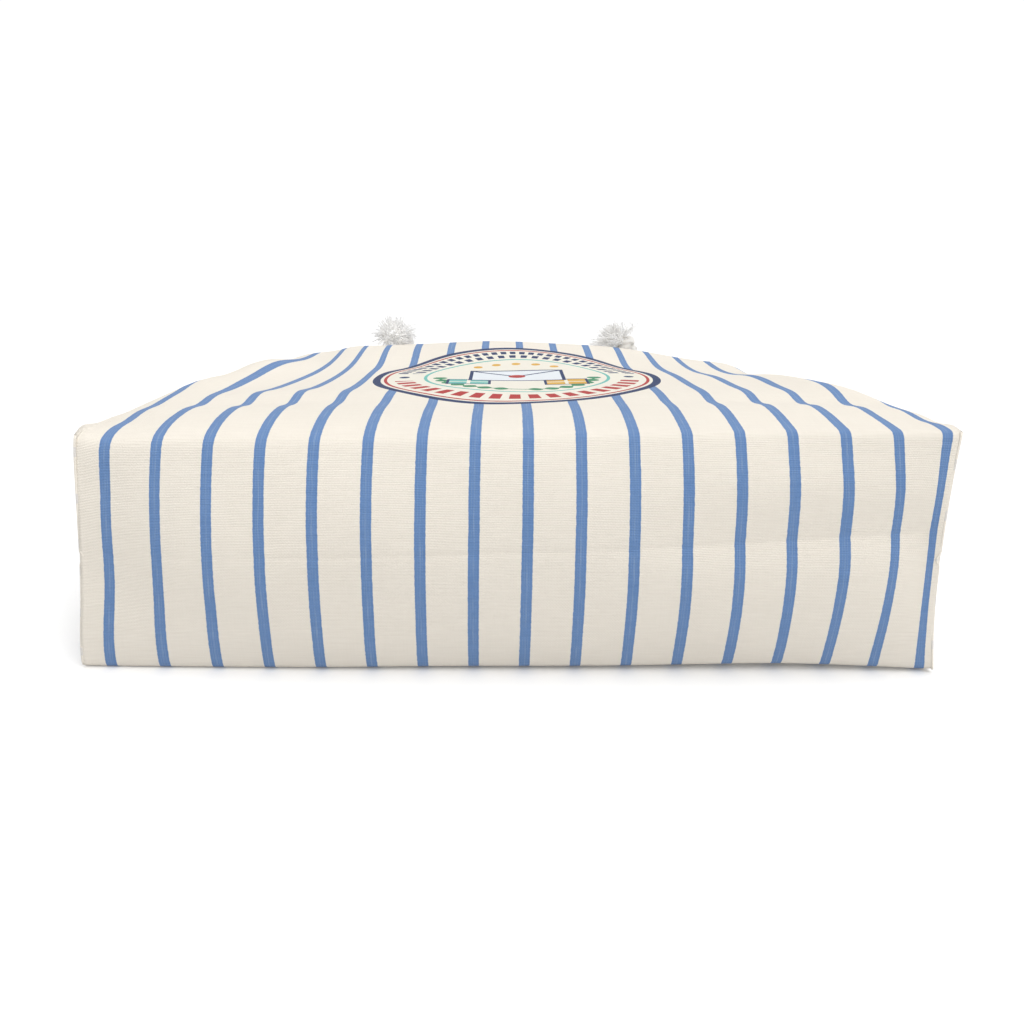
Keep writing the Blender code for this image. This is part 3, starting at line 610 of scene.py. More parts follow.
def badge_group():
    """A printed roundel on a cloth disc of radius 1 about the origin: rim, rings, a border of plain bars, and
    an envelope and two parcels over sprigs, under five dots. Ink is the colour and Cover is 1 where there is
    print."""
    tree, n, given, out = new_group(
        "roundel_print", [("X", "NodeSocketFloat"), ("Y", "NodeSocketFloat")],
        [("Ink", "NodeSocketColor"), ("Cover", "NodeSocketFloat")],
    )
    x, y = given["X"], given["Y"]
    radius = n.math("SQRT", n.math("ADD", n.math("MULTIPLY", x, x), n.math("MULTIPLY", y, y)))
    angle = n.math("ARCTAN2", y, x)
    navy, red = (0.014, 0.036, 0.125, 1), (0.46, 0.032, 0.030, 1)
    teal, green, gold = (0.16, 0.52, 0.47, 1), (0.05, 0.27, 0.13, 1), (0.72, 0.42, 0.06, 1)
    paper, pale = (0.86, 0.82, 0.72, 1), (0.80, 0.84, 0.88, 1)

    def between(value, low, high):
        return n.math("MULTIPLY", n.math("GREATER_THAN", value, low), n.math("LESS_THAN", value, high))

    def both(*masks):
        made = masks[0]
        for mask in masks[1:]:
            made = n.math("MULTIPLY", made, mask)
        return made

    def far(across, up):
        return n.math("SQRT", n.math("ADD", n.math("POWER", across, 2.0), n.math("POWER", up, 2.0)))

    layers = [(between(radius, 0.945, 1.0), navy), (between(radius, 0.900, 0.922), red)]
    upper = n.math("GREATER_THAN", y, 0.16)
    lower = n.math("LESS_THAN", y, -0.16)
    rows = ((72, 0.60, 0.800, 0.872, upper, navy), (52, 0.55, 0.690, 0.765, upper, navy),
            (42, 0.58, 0.725, 0.850, lower, red))
    for count, share, low, high, half, ink in rows:
        bars = n.math("LESS_THAN", n.math("FRACT", n.math("MULTIPLY", angle, count / (2 * math.pi))), share)
        layers.append((both(bars, between(radius, low, high), half), ink))
    dots = far(n.math("SUBTRACT", n.math("ABSOLUTE", x), 0.785), y)
    layers += [(n.math("LESS_THAN", dots, 0.036), navy), (between(radius, 0.625, 0.648), teal)]
    leaf = n.math("ABSOLUTE", n.math("SINE", n.math("MULTIPLY", angle, 15.0)))
    width = n.math("MULTIPLY", leaf, 0.050)
    on_arc = n.math("ABSOLUTE", n.math("SUBTRACT", radius, 0.535))
    below = n.math("LESS_THAN", y, -0.02)
    gap = n.math("GREATER_THAN", n.math("ABSOLUTE", x), 0.045)
    layers += [(both(n.math("LESS_THAN", on_arc, width), below, gap), green),
               (both(n.math("LESS_THAN", on_arc, 0.009), below), green)]
    high = n.math("SUBTRACT", y, 0.07)
    wide, tall = n.math("ABSOLUTE", x), n.math("ABSOLUTE", high)
    box_x = n.math("ABSOLUTE", n.math("SUBTRACT", wide, 0.33))
    box_y = n.math("ABSOLUTE", n.math("ADD", y, 0.215))
    parcel = both(n.math("LESS_THAN", box_x, 0.150), n.math("LESS_THAN", box_y, 0.115))
    wrap = both(n.math("LESS_THAN", box_x, 0.132), n.math("LESS_THAN", box_y, 0.097))
    string = both(wrap, n.math("LESS_THAN", n.math("MINIMUM", box_x, box_y), 0.012))
    right = n.math("GREATER_THAN", x, 0.0)
    layers += [(parcel, navy), (wrap, teal), (both(wrap, right), gold), (string, paper)]
    sheet = both(n.math("LESS_THAN", wide, 0.335), n.math("LESS_THAN", tall, 0.215))
    face = both(n.math("LESS_THAN", wide, 0.310), n.math("LESS_THAN", tall, 0.190))
    flap = n.math("ABSOLUTE", n.math("SUBTRACT", high, n.math("MULTIPLY_ADD", wide, 0.66, -0.015)))
    layers += [(sheet, navy), (face, pale), (both(face, n.math("LESS_THAN", flap, 0.014)), navy)]
    layers += [(n.math("LESS_THAN", far(x, n.math("ADD", high, 0.02)), 0.060), red)]
    turned = n.math("ARCTAN2", x, y)
    nearest = n.math("SNAP", n.math("ADD", turned, 0.15), 0.30)
    apart = n.math("MULTIPLY", n.math("SUBTRACT", turned, nearest), 0.50)
    spark = far(n.math("SUBTRACT", radius, 0.50), apart)
    layers += [(both(n.math("LESS_THAN", spark, 0.034), n.math("GREATER_THAN", y, 0.36)), gold)]
    colour = paper
    for mask, ink in layers:
        colour = n.mix(mask, colour, ink)
    n.feed(out["Ink"], colour)
    n.feed(out["Cover"], n.math("LESS_THAN", radius, 1.0))
    return tree


def fibre_group():
    """Cotton yarn on a rope's own lengths: fine fibres along each strand, with Height for their relief and Tone
    for their shade."""
    tree, n, given, out = new_group(
        "cotton_fibres", [("Rope", "NodeSocketVector"), ("Turns", "NodeSocketFloat")],
        [("Height", "NodeSocketFloat"), ("Tone", "NodeSocketFloat")],
    )
    around, along, _ = n.split(given["Rope"])
    turned = n.math("MULTIPLY", along, given["Turns"])
    slanted = n.math("MULTIPLY", n.math("SUBTRACT", around, turned), 2 * math.pi)
    circle = [n.math("MULTIPLY", n.math(kind, slanted), 7.0) for kind in ("COSINE", "SINE")]
    fibres = n.noise(n.join(*circle, n.math("MULTIPLY", along, 110.0)), 1.0, 3.0, 0.6)
    patches = n.noise(n.join(*circle, n.math("MULTIPLY", along, 60.0)), 0.25, 2.0)
    n.feed(out["Height"], fibres)
    n.feed(out["Tone"], n.math("MULTIPLY_ADD", patches, 0.5, n.math("MULTIPLY", fibres, 0.5)))
    return tree


CREAM = (0.89, 0.834, 0.742, 1)
CREAM_DEEP = (0.835, 0.774, 0.680, 1)
BLUE = (0.150, 0.275, 0.530, 1)
BLUE_DEEP = (0.110, 0.222, 0.455, 1)
BLUE_PALE = (0.36, 0.45, 0.59, 1)
COTTON = (0.95, 0.94, 0.91, 1)
COTTON_DEEP = (0.80, 0.775, 0.73, 1)
THREAD = 0.00078  # width of one thread of the warp
BADGE_RADIUS = 0.0995
BADGE_ROUND, BADGE_ALONG = 0.002, 0.160  # its middle, round and along the front panel


def materials():
    """Every finish of the sack, by name."""
    weave, stripes, badge, fibres = weave_group(), stripe_group(), badge_group(), fibre_group()
    made = {}

    def canvas(name, printed):
        """Cream canvas. The printed side has the blue stripes and the roundel, and the reverse shows the
        stripes faintly."""
        finish, n, shader = new_material(name, 0.92, sheen=0.12)
        place = n.add("ShaderNodeUVMap", uv_map="cloth").outputs[0]
        woven = n.group(weave, Cloth=place, Thread=THREAD)
        lines = n.group(stripes, Cloth=place)
        blotch = n.noise(place, 14.0, 4.0)
        tone = n.math("MULTIPLY_ADD", woven["Tone"], 0.75, n.math("MULTIPLY", blotch, 0.25))
        ground = n.mix(n.ramp(tone, 0.22, 0.70), CREAM_DEEP, CREAM)
        blue = n.mix(n.ramp(woven["Tone"], 0.25, 0.75), BLUE_DEEP, BLUE)
        blue = n.mix(n.math("MULTIPLY", lines["Pale"], 0.7), blue, BLUE_PALE)
        u, v, _ = n.split(place)
        if printed:
            colour = n.mix(lines["Stripe"], ground, blue)
            x = n.math("DIVIDE", n.math("SUBTRACT", u, 1 + BADGE_ROUND), BADGE_RADIUS)
            y = n.math("DIVIDE", n.math("SUBTRACT", LENGTH - BADGE_ALONG, v), BADGE_RADIUS)
            print_ = n.group(badge, X=x, Y=y)
            worn = n.ramp(woven["Tone"], 0.15, 0.45, 0.86, 1.0)
            colour = n.mix(n.math("MULTIPLY", print_["Cover"], worn), colour, print_["Ink"])
        else:
            colour = n.mix(n.math("MULTIPLY", lines["Stripe"], 0.16), ground, blue)
        n.feed(shader["Base Color"], colour)
        n.feed(shader["Roughness"], n.ramp(woven["Tone"], 0.2, 0.8, 0.88, 0.97))
        pressed = n.noise(place, 7.0, 3.0)
        height = n.math("MULTIPLY_ADD", pressed, 2.2, woven["Height"])
        n.feed(shader["Normal"], n.bump(height, 0.75, 0.00030))
        return finish

    made["canvas"] = canvas("printed_canvas", True)
    made["reverse"] = canvas("canvas_reverse", False)

    finish, n, shader = new_material("cotton_rope", 0.95, sheen=0.25)
    place = n.add("ShaderNodeUVMap", uv_map="cloth").outputs[0]
    yarn = n.group(fibres, Rope=place, Turns=1 / LAY)
    n.feed(shader["Base Color"], n.mix(n.ramp(yarn["Tone"], 0.3, 0.7), COTTON_DEEP, COTTON))
    n.feed(shader["Normal"], n.bump(yarn["Height"], 0.8, 0.0006))
    made["rope"] = finish

    finish, n, shader = new_material("frayed_cotton", 1.0, sheen=0.8)
    place = n.add("ShaderNodeUVMap", uv_map="cloth").outputs[0]
    which, out, _ = n.split(place)
    shade = n.math("FRACT", n.math("MULTIPLY", which, 7.31))
    # each yarn is coloured darker and tanner towards its root, and paler towards its tip
    tip = n.mix(shade, (0.93, 0.915, 0.89, 1), (0.98, 0.97, 0.955, 1))
    root = n.mix(shade, (0.80, 0.71, 0.57, 1), (0.90, 0.86, 0.79, 1))
    grown = n.ramp(n.math("MULTIPLY_ADD", shade, 0.10, out), 0.05, 0.32)
    n.feed(shader["Base Color"], n.mix(grown, root, tip))
    shader["Subsurface Weight"].default_value = 1.0
    shader["Subsurface Radius"].default_value = (1.0, 1.0, 1.0)
    shader["Subsurface Scale"].default_value = 0.0025
    # painted glow: a faint emission brightens every yarn, standing in for the light that passes on among the
    # fibres
    shader["Emission Color"].default_value = (1.0, 0.985, 0.96, 1)
    shader["Emission Strength"].default_value = 0.10
    made["fray"] = finish

    finish, n, shader = new_material("nickel_plate", 0.28, metallic=1.0)
    place = n.add("ShaderNodeTexCoord").outputs["Object"]
    wear = n.noise(place, 420.0, 3.0)
    n.feed(shader["Base Color"], n.mix(wear, (0.58, 0.57, 0.54, 1), (0.78, 0.77, 0.74, 1)))
    n.feed(shader["Roughness"], n.ramp(n.noise(place, 900.0, 2.0), 0.3, 0.7, 0.2, 0.4))
    made["nickel"] = finish

    finish, n, shader = new_material("sewing_thread", 0.8, sheen=0.3)
    place = n.add("ShaderNodeTexCoord").outputs["Object"]
    twist = n.noise(place, 1500.0, 2.0)
    n.feed(shader["Base Color"], n.mix(twist, (0.70, 0.66, 0.57, 1), (0.90, 0.87, 0.78, 1)))
    n.feed(shader["Normal"], n.bump(twist, 0.5, 0.0001))
    made["thread"] = finish

    finish, n, shader = new_material("overlocked_canvas", 0.9, sheen=0.2)
    place = n.add("ShaderNodeUVMap", uv_map="cloth").outputs[0]
    out, run, _ = n.split(place)
    steps = n.math("MULTIPLY", run, 1122.0)
    there, back = (n.math("ABSOLUTE", n.math("SINE", n.math("MULTIPLY_ADD", out, slant, steps)))
                   for slant in (420.0, -420.0))
    thread = n.math("MAXIMUM", n.ramp(there, 0.80, 0.95), n.ramp(back, 0.86, 0.97))
    n.feed(shader["Base Color"], n.mix(thread, (0.62, 0.57, 0.47, 1), (0.88, 0.85, 0.77, 1)))
    n.feed(shader["Normal"], n.bump(thread, 0.6, 0.0004))
    made["overlock"] = finish
    return made


# ---------------------------------------------------------------- cloth pieces
def make_cloth(finishes):
    """The whole cloth as one thick sheet, printed outside, with the eyelets' holes left open."""
    vertices, faces, uv = cloth()
    made = new_object("canvas_cloth", vertices, faces, [finishes["canvas"], finishes["reverse"]], uv)
    merge(made)
    thickness = made.modifiers.new("thickness", "SOLIDIFY")
    thickness.thickness = CLOTH
    thickness.offset = -1
    thickness.material_offset = 1
    thickness.material_offset_rim = 1
    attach(made, "sack")
    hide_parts("front_panel", "back_panel", "bottom_panel")
    return made


def merge(obj, distance=0.00004):
    """Joins vertices that lie together, as where one face of the cloth runs into the next."""
    build = bmesh.new()
    build.from_mesh(obj.data)
    bmesh.ops.remove_doubles(build, verts=build.verts, dist=distance)
    build.to_mesh(obj.data)
    build.free()
    obj.data.shade_smooth()


def make_hem(finishes):
    """The mouth's hem: the cloth goes over the edge in a small round fold and down inside, and its raw edge is
    turned under. Each row is a distance along and a depth below the outer face."""
    turn = np.linspace(0, math.pi, 7)
    fold, tuck = 0.0014, 0.0006  # radii of the fold at the edge and of the raw edge's turn
    rows = [(LENGTH - 0.001, -0.00003)]
    rows += [(LENGTH + fold * math.sin(t), fold * (1 - math.cos(t))) for t in turn]
    rows += [(along, 2 * fold) for along in np.arange(LENGTH - 0.002, LENGTH - HEM_WIDTH + 0.001, -0.0016)]
    rows += [(LENGTH - HEM_WIDTH - tuck * math.sin(t), 2 * fold - tuck * (1 - math.cos(t))) for t in turn]
    alongs, insets = np.array(rows).T
    vertices, faces, uvs, start = [], [], [], 0
    wide, deep = np.meshgrid(ROUND, alongs)
    travelled = np.concatenate([[0], np.cumsum(np.hypot(np.diff(alongs), np.diff(insets)))])
    for side in (1, -1):
        grid = skin(side, ROUND, np.minimum(alongs, LENGTH), insets)
        grid[..., 1] += np.maximum(alongs - LENGTH, 0)[:, None]
        quads = grid_faces(*wide.shape, start)
        quads = quads[~in_eyelet(wide, deep)]
        faces.append(quads if side > 0 else quads[:, ::-1])
        vertices.append(grid.reshape(-1, 3))
        down = np.broadcast_to(travelled[:, None], wide.shape)
        down = -down if side > 0 else 2 * LENGTH + DEPTH + down
        uvs.append(np.stack([wide + 1, down], axis=-1).reshape(-1, 2))
        start += grid.shape[0] * grid.shape[1]
    made = new_object("mouth_hem", np.vstack(vertices), np.vstack(faces)[:, ::-1],
                      [finishes["canvas"], finishes["reverse"]], np.vstack(uvs))
    thickness = made.modifiers.new("thickness", "SOLIDIFY")
    thickness.thickness = 0.0010
    thickness.offset = -1
    thickness.material_offset = 1
    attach(made, "sack")
    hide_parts("front_hem", "back_hem")
    return made


def capsules(places, forward, up, length, width, height):
    """Many small stitches in one mesh: each is an ellipsoid of 6 by 3 faces about its place."""
    around = np.linspace(0, 2 * math.pi, 6, endpoint=False)
    t = np.array([-1, -0.55, 0.55, 1])
    thick = np.array([0.25, 1, 1, 0.25])
    side = np.cross(up, forward)
    rings = (forward[:, None, None] * (t * length / 2)[None, :, None, None]
             + side[:, None, None] * (thick[:, None] * np.cos(around) * width / 2)[None, ..., None]
             + up[:, None, None] * (thick[:, None] * np.sin(around) * height / 2)[None, ..., None])
    points = (places[:, None, None] + rings).reshape(-1, 3)
    one = grid_faces(4, 6, closed=True)
    faces = (one[None] + (np.arange(len(places)) * 24)[:, None, None]).reshape(-1, 4)
    return points, faces


def make_stitches(finishes):
    """The hem's row of lockstitches, seen outside and inside."""
    rounds = np.arange(-0.3030, 0.3031, 0.0034)
    alongs = LENGTH - HEM_WIDTH + 0.003 + np.array([-0.002, 0, 0.002])
    points, faces, start = [], [], 0
    for side in (1, -1):
        for inset, way in ((-0.0001, 1), (0.0029, -1)):
            grid = skin(side, rounds, alongs, inset)
            forward = np.gradient(grid[1], axis=0)
            forward /= np.linalg.norm(forward, axis=1)[:, None]
            made, quads = capsules(grid[1], forward, outward(grid, side)[1] * way, 0.0027, 0.0007, 0.0005)
            points.append(made)
            faces.append(quads + start)
            start += len(made)
    made = new_object("hem_stitches", np.vstack(points), np.vstack(faces), [finishes["thread"]])
    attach(made, "sack")


def make_seam(name, path, inward, width, finishes, node):
    """A sewn and overlocked seam allowance: a flat bar that stands inward from the path, whose free edge is
    wrapped in thread loops that swell it every few millimetres."""
    along = np.gradient(path, axis=0)
    along /= np.linalg.norm(along, axis=1)[:, None]
    inward = inward - along * np.sum(inward * along, axis=1)[:, None]
    inward /= np.linalg.norm(inward, axis=1)[:, None]
    flat = np.cross(along, inward)
    angle = np.linspace(0, 2 * math.pi, 18, endpoint=False)
    u = 0.5 - 0.5 * np.sign(np.cos(angle)) * np.abs(np.cos(angle)) ** 0.45
    v = np.sign(np.sin(angle)) * np.abs(np.sin(angle)) ** 0.8
    travelled = np.concatenate([[0], np.cumsum(np.linalg.norm(np.diff(path, axis=0), axis=1))])
    loops = np.abs(np.sin(travelled * math.pi / 0.0028))[:, None]
    thick = 0.00115 + 0.00035 * loops * np.clip((u - 0.35) / 0.2, 0, 1)
    reach = width * (u + 0.05 * loops * np.clip((u - 0.8) / 0.2, 0, 1))
    wave = 0.0006 * np.sin(travelled / 0.017)[:, None] * u
    grid = path[:, None] + inward[:, None] * reach[..., None] + flat[:, None] * (v * thick + wave)[..., None]
    uv = np.stack(np.broadcast_arrays(u[None] * width, travelled[:, None]), axis=-1)
    count = len(path) * len(angle)
    faces = [list(f) for f in grid_faces(len(path), len(angle), closed=True)]
    faces += [list(range(len(angle)))[::-1], list(range(count - len(angle), count))]
    made = new_object(name, grid.reshape(-1, 3), faces, [finishes["overlock"]], uv.reshape(-1, 2))
    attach(made, "sack")
    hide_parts(node)
    return made


def make_seams(finishes):
    """Side seams from the boxed corner to the mouth, and the corner seams up the bottom's ends. Each starts a
    little inside the cloth's edge."""
    width = 0.0086
    alongs = np.arange(0.010, LENGTH - 0.001, 0.0007)
    ups = np.linspace(0.045, 0.955, 160)
    for hand, word in ((-1, "left"), (1, "right")):
        grid = skin(1, np.sort(hand * np.array([HALF_GIRTH - 0.002, HALF_GIRTH - 0.001, HALF_GIRTH])), alongs)
        path = grid[:, 1 + hand] - np.array([hand * 0.0026, 0, 0])
        inward = np.broadcast_to(np.array([-hand, 0.0, 0.0]), path.shape)
        make_seam(f"overlock_side_{word}", path, inward, width, finishes, f"{word}_side_seam")
        end = RIGHT_END if hand > 0 else -LEFT_END
        edge = bottom_surface(np.full((1, len(ups)), end), ups[None])[0]
        path = edge + np.array([-hand * 0.0024, 0.0024, 0])
        inward = np.broadcast_to(np.array([-hand, 1.0, 0.0]), path.shape)
        make_seam(f"overlock_corner_{word}", path, inward, width, finishes, f"{word}_corner_seam")


# ---------------------------------------------------------------- eyelets, ropes, knots and frayed ends
def lathe(profile, centre, out, segments=56):
    """A profile of (radius, height) pairs turned about the axis out through the centre."""
    across = np.cross(out, (0.0, 0.9, 0.44))
    across /= np.linalg.norm(across)
    other = np.cross(out, across)
    angle = np.linspace(0, 2 * math.pi, segments, endpoint=False)
    radius, height = np.array(profile).T
    ring = across[None] * np.cos(angle)[:, None] + other[None] * np.sin(angle)[:, None]
    grid = centre + ring[None] * radius[:, None, None] + out * height[:, None, None]
    return grid.reshape(-1, 3), grid_faces(len(profile), segments, closed=True)


def make_eyelet(side, hand, finishes):
    """A rolled metal eyelet and the washer that its barrel is turned over, each a closed ring. Their profiles
    are (radius, height over the cloth)."""
    word = ("front" if side > 0 else "back"), ("left" if hand < 0 else "right")
    centre, _, _, out = spot(side, hand * EYELET_ROUND, EYELET_ALONG)
    half = np.linspace(0, math.pi, 9)
    flange = [(0.0060, -0.0045), (0.0060, -0.0002)]
    flange += [(0.0068 - 0.0008 * math.cos(t * 0.5), 0.0009 * math.sin(t * 0.5)) for t in half[1:]]
    flange += [(0.0068 + 0.0040 * k / 6, 0.0009 - 0.0004 * (k / 6) ** 2) for k in range(1, 7)]
    flange += [(0.0110, 0.0003), (0.0110, 0.0001), (0.0066, 0.0001), (0.0066, -0.0045), (0.0060, -0.0045)]
    washer = [(0.0060, -0.0044), (0.0061, -0.0053), (0.0068, -0.0058), (0.0076, -0.0056), (0.0079, -0.0050),
              (0.0094, -0.0048), (0.0096, -0.0044), (0.0094, -0.0041), (0.0060, -0.0041), (0.0060, -0.0044)]
    for name, profile, node in (("eyelet_ring", flange, "eyelet"), ("eyelet_collar", washer, "washer")):
        points, faces = lathe(profile, centre, out)
        made = new_object(f"{name}_{word[0]}_{word[1]}", points, faces, [finishes["nickel"]])
        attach(made, "sack")
        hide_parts(f"{word[0]}_{node}_{word[1]}")


def rope_grid(path, radius=ROPE, around=36):
    """A three-strand rope along a path. Its outline is three round strands about the middle that turn once in
    each lay: the distance to it at an angle is that to the far side of the nearest strand."""
    first, second, _ = carried_frames(path)
    travelled = np.concatenate([[0], np.cumsum(np.linalg.norm(np.diff(path, axis=0), axis=1))])
    angle = np.linspace(0, 2 * math.pi, around, endpoint=False)
    turned = angle[None] - 2 * math.pi * travelled[:, None] / LAY
    off = (turned + math.pi / 3) % (2 * math.pi / 3) - math.pi / 3
    middle, strand = 0.40 * radius, 0.60 * radius
    reach = middle * np.cos(off) + np.sqrt(strand**2 - (middle * np.sin(off)) ** 2)
    reach = reach * (1 + 0.025 * np.sin(5 * off) * np.cos(travelled[:, None] / 0.004))
    grid = path[:, None] + reach[..., None] * (
        first[:, None] * np.cos(angle)[None, :, None] + second[:, None] * np.sin(angle)[None, :, None])
    uv = np.stack(np.broadcast_arrays(angle[None] / (2 * math.pi), travelled[:, None]), axis=-1)
    faces = [list(f) for f in grid_faces(len(path), around, closed=True)]
    count = len(path) * around
    faces += [list(range(around))[::-1], list(range(count - around, count))]
    return grid.reshape(-1, 3), faces, uv.reshape(-1, 2)


# Where the loops lie: x, the distance behind the hinge line, and the height as a share of the hinge line's.
FRONT_ROUTE = [
    (-0.096, 0.012, 0.80), (-0.094, 0.033, 0.44), (-0.090, 0.062, 0.13), (-0.086, 0.100, 0), (-0.086, 0.145, 0),
    (-0.084, 0.187, 0), (-0.066, 0.228, 0), (-0.030, 0.251, 0), (0.012, 0.254, 0), (0.052, 0.236, 0),
    (0.076, 0.200, 0), (0.084, 0.153, 0), (0.087, 0.104, 0), (0.090, 0.064, 0.13), (0.093, 0.034, 0.44),
    (0.096, 0.012, 0.80),
]
BACK_ROUTE = [
    (-0.107, 0.020, 0.64), (-0.109, 0.048, 0.16), (-0.114, 0.080, 0), (-0.120, 0.117, 0), (-0.122, 0.158, 0),
    (-0.116, 0.201, 0), (-0.096, 0.242, 0), (-0.060, 0.268, 0), (-0.014, 0.277, 0), (0.034, 0.275, 0),
    (0.078, 0.258, 0), (0.108, 0.223, 0), (0.119, 0.178, 0), (0.118, 0.132, 0), (0.114, 0.088, 0),
    (0.109, 0.050, 0.16), (0.107, 0.020, 0.64),
]
TABLE_LINE = 0.0048  # height of the rope's middle where it lies on the table
HANDLES = (  # side of the sack, name, height of its hinge line, half the distance between its legs there
    (1, "front", 0.11092, 0.094),
    (-1, "back", 0.03677, 0.106),
)


def rope_path(side, axis_y, axis_z, leg):
    """The rope's line from its left knot in through the eyelet, out of the mouth over the hinge line, round
    its loop on the table and back to the right knot."""
    held = []
    for hand in (-1, 1):
        centre, _, run, out = spot(side, hand * EYELET_ROUND, EYELET_ALONG)
        axis = np.array([hand * leg, axis_y, axis_z])
        held.append([centre + out * 0.009, centre + out * 0.001, centre - out * 0.007,
                     centre - out * 0.0165 + run * 0.006, axis - (0, 0.010, 0), axis])
    route = FRONT_ROUTE if side > 0 else BACK_ROUTE
    loop = [np.array([x, axis_y + back, TABLE_LINE + up * (axis_z - TABLE_LINE)]) for x, back, up in route]
    return even_steps(smooth_curve(held[0] + loop + held[1][::-1]), 0.0013)


def make_knot(side, hand, finishes):
    """An overhand knot drawn tight against the eyelet: the rope follows a trefoil about the eyelet's axis,
    a little flatter under the sack. Also gives back its middle."""
    word = ("front" if side > 0 else "back"), ("left" if hand < 0 else "right")
    centre, across, run, out = spot(side, hand * EYELET_ROUND, EYELET_ALONG)
    t = np.linspace(0, 2 * math.pi, 200) + 0.6 + 0.9 * hand
    size, high = 0.0077, 0.0034
    middle = centre + out * 0.0098
    flat = 0.92 if side < 0 else 1.0
    path = (middle + across * (size / 3 * (np.sin(t) + 2 * np.sin(2 * t)))[:, None]
            + run * (size / 3 * (np.cos(t) - 2 * np.cos(2 * t)))[:, None]
            + out * (-high * flat * np.sin(3 * t))[:, None])
    points, faces, uv = rope_grid(path, ROPE * 0.97, 30)
    made = new_object(f"rope_knot_{word[0]}_{word[1]}", points, faces, [finishes["rope"]], uv)
    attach(made, "sack")
    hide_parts(f"{word[0]}_knot_{word[1]}")
    return made, middle


def strands(root, way, count, length, flare, thick, seed, sag=0.25, curl=0.0016, flat=None, clumps=26, sides=3):
    """Loose yarns from a rope's end, in clumps. Each leaves the root along the way, turns outward to its
    clump's angle, wider to the sides, and sags, with a small corkscrew. Its cross-section is a small polygon
    that swells a little and then thins towards the tip. Flat gives how low and how high a yarn may lie."""
    rng = np.random.default_rng(seed)
    way = np.asarray(way, float) / np.linalg.norm(way)
    one = np.cross(way, (0.2, 0.4, 0.9))
    one /= np.linalg.norm(one)
    two = np.cross(way, one)
    steps = 9
    t = np.linspace(0, 1, steps)[None, :, None]
    clump = rng.integers(0, clumps, (count, 1, 1))
    turn = rng.uniform(0, 2 * math.pi, clumps)[clump] + 0.25 * rng.normal(size=(count, 1, 1))
    share = np.clip(np.sqrt(rng.uniform(0, 1, clumps))[clump] + 0.10 * rng.normal(size=(count, 1, 1)), 0, 1)
    radial = one * np.cos(turn) + two * np.sin(turn)
    spread = flare * (0.66 + 0.55 * np.cos(turn) ** 2)
    lean = spread * share * np.clip(t * 2.2, 0, 1) ** 0.8 * (1 + 0.30 * rng.normal(size=(count, 1, 1)) * t)
    heading = way * np.cos(lean) + radial * np.sin(lean) + np.array([0, 0, -1.0]) * sag * t**2
    each = length * rng.uniform(0.62, 1.12, (count, 1, 1))
    line = np.cumsum(heading, axis=1) / steps * each
    phase = rng.uniform(0, 2 * math.pi, (count, 1, 1))
    waves = rng.uniform(2.0, 7.0, (count, 1, 1))
    tangent = np.cross(radial, way)
    line = line + curl * t * (tangent * np.sin(waves * t + phase) + radial * np.cos(1.3 * waves * t + phase))
    line = line + root + radial * share * ROPE * 0.72
    if flat is not None:
        line[..., 2] = np.clip(line[..., 2], flat[0], flat[1])
    angle = np.arange(sides) * 2 * math.pi / sides
    width = thick * rng.uniform(0.6, 1.2, (count, 1, 1, 1)) * (0.75 + 0.9 * t - 1.35 * t**2)[..., None]
    ring = (radial[:, :, None] * np.cos(angle)[None, None, :, None]
            + tangent[:, :, None] * np.sin(angle)[None, None, :, None]) * width
    points = (line[:, :, None] + ring).reshape(-1, 3)
    one_face = grid_faces(steps, sides, closed=True)
    faces = (one_face[None] + (np.arange(count) * steps * sides)[:, None, None]).reshape(-1, 4)
    which = np.broadcast_to(rng.uniform(0, 1, (count, 1, 1)), (count, steps, sides))
    uv = np.stack([which, np.broadcast_to(t, which.shape)], axis=-1)
    return points, faces, uv.reshape(-1, 2)


TUFTS = {  # way out of the knot, how wide it opens, length of its yarns
    (1, -1): ((-0.22, -0.72, 0.50), 1.75, 0.0215),
    (1, 1): ((-0.72, -0.42, 0.44), 0.90, 0.0205),
    (-1, -1): ((0.95, 0.30, 0), 1.20, 0.0175),
    (-1, 1): ((-0.95, 0.30, 0), 1.20, 0.0175),
}


def make_tuft(side, hand, middle, finishes):
    """The frayed end of a rope: its opened yarns with finer wisps among them."""
    word = ("front" if side > 0 else "back"), ("left" if hand < 0 else "right")
    way, flare, long_ = TUFTS[side, hand]
    flat = None if side > 0 else (0.0008, 0.0170)  # the back ones lie under the sack's mouth
    way = np.array(way) / np.linalg.norm(way)
    root = middle + way * 0.0060
    seed = 11 + 4 * side + 2 * hand
    sets = [strands(root, way, 190, long_ * 0.92, flare, 0.00120, seed, curl=0.0022, flat=flat, sides=5),
            strands(root, way, 170, long_ * 1.02, flare, 0.00060, seed, curl=0.0030, flat=flat, sides=4),
            strands(root, way, 150, long_ * 1.20, flare * 1.1, 0.00020, seed + 50, curl=0.0040, flat=flat)]
    if side > 0 and hand > 0:  # this one also has two long locks
        sets += [strands(root, (0.05, -0.30, 0.98), 26, 0.0250, 0.35, 0.00050, 91, sag=0.0, curl=0.0045),
                 strands(root, (-0.9, -0.42, 0.02), 60, 0.0300, 0.30, 0.00060, 92, sag=0.12, curl=0.0025)]
    points, faces, uvs, start = [], [], [], 0
    for made, quads, uv in sets:
        points.append(made)
        faces.append(quads + start)
        uvs.append(uv)
        start += len(made)
    name = f"frayed_end_{word[0]}_{word[1]}"
    made = new_object(name, np.vstack(points), np.vstack(faces), [finishes["fray"]], np.vstack(uvs))
    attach(made, "sack")
    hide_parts(f"{word[0]}_tuft_{word[1]}")
    return made


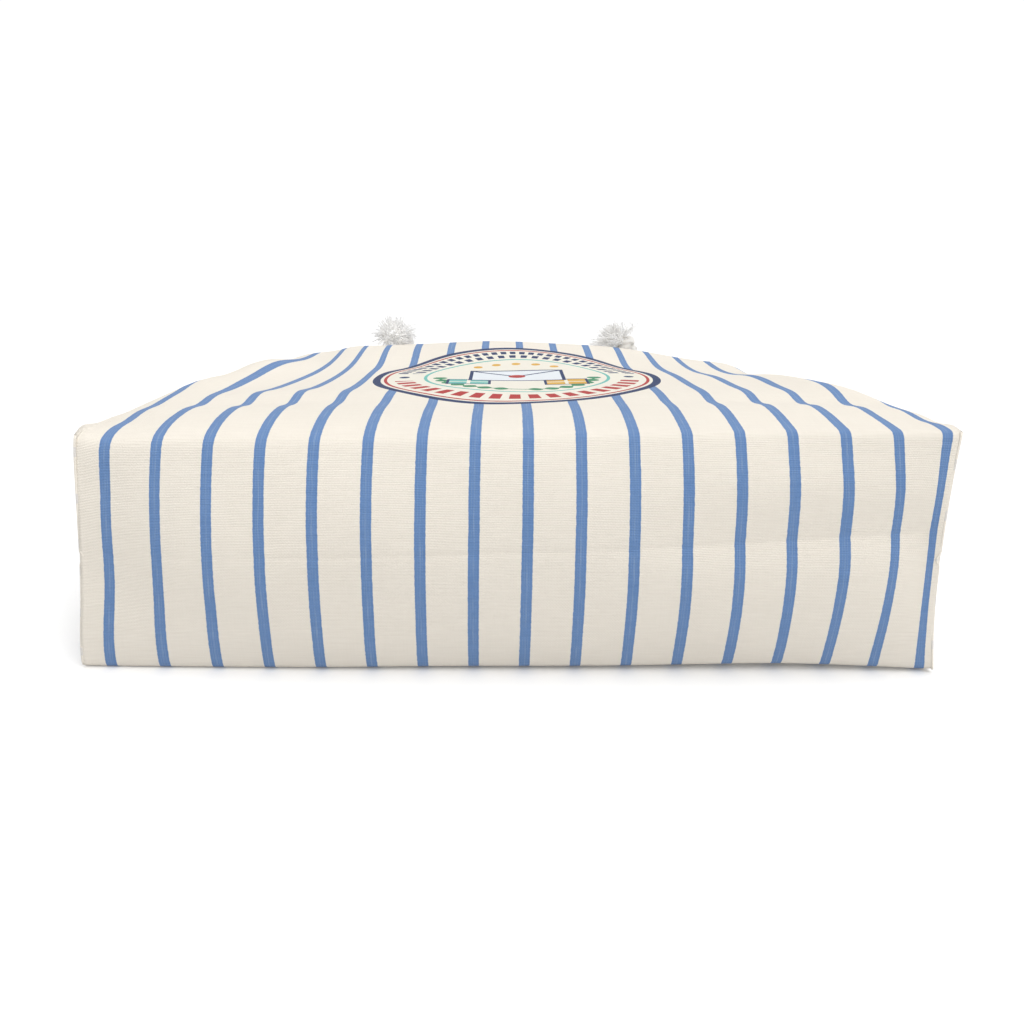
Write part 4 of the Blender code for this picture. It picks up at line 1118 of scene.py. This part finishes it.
def make_ropes(finishes):
    """Both rope handles with their knots and frayed ends. Each rope is one piece, running from the sack out
    over the hinge line to its handle."""
    axis_y = Y_MOUTH + 0.008
    for side, word, axis_z, leg in HANDLES:
        path = rope_path(side, axis_y, axis_z, leg)
        points, faces, uv = rope_grid(path)
        rope = new_object(f"rope_{word}", points, faces, [finishes["rope"]], uv)
        ends = []
        for hand in (-1, 1):
            knot, middle = make_knot(side, hand, finishes)
            ends += [knot, make_tuft(side, hand, middle, finishes)]
        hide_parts(f"{word}_handle", f"{word}_rope_left", f"{word}_rope_right")
        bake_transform(rope)


# ---------------------------------------------------------------- stage
def stage():
    """A pale floor and world, brighter where the camera sees them, and two wide soft suns."""
    size = 6.0
    floor = new_object("floor", [(-size, -size, 0), (size, -size, 0), (size, size, 0), (-size, size, 0)],
                       [(0, 1, 2, 3)], [], smooth=False)
    finish, n, shader = new_material("pale_floor", 0.9)
    seen = n.add("ShaderNodeLightPath").outputs["Is Camera Ray"]
    n.feed(shader["Base Color"], n.mix(seen, (0.80, 0.80, 0.80, 1), (0.94, 0.94, 0.94, 1)))
    shader["Emission Color"].default_value = (1, 1, 1, 1)
    n.feed(shader["Emission Strength"], n.math("MULTIPLY", seen, 0.08))
    floor.data.materials.append(finish)
    world = bpy.data.worlds.new("studio")
    bpy.context.scene.world = world
    world.use_nodes = True
    n = Nodes(world.node_tree)
    seen = n.add("ShaderNodeLightPath").outputs["Is Camera Ray"]
    background = world.node_tree.nodes["Background"]
    background.inputs["Color"].default_value = (1, 1, 1, 1)
    n.feed(background.inputs["Strength"], n.ramp(seen, 0.0, 1.0, 0.50, 1.05))
    suns = (("overhead", (0.0, 0.05, 1.0), 50, 1.30), ("front", (0.70, -0.76, 1.05), 40, 1.22))
    for name, way, width, strength in suns:
        data = bpy.data.lights.new(name, "SUN")
        data.angle = math.radians(width)
        data.energy = strength
        light = bpy.data.objects.new(name, data)
        bpy.context.scene.collection.objects.link(light)
        light.matrix_world = (-Vector(way)).to_track_quat("-Z", "Y").to_matrix().to_4x4()
    bpy.context.scene.view_settings.view_transform = "Standard"


camera()
FINISHES = materials()
make_ropes(FINISHES)
CLOTH_PIECE = make_cloth(FINISHES)
HEM_PIECE = make_hem(FINISHES)
make_stitches(FINISHES)
make_seams(FINISHES)
for SIDE in (1, -1):
    for HAND in (-1, 1):
        make_eyelet(SIDE, HAND, FINISHES)
stage()
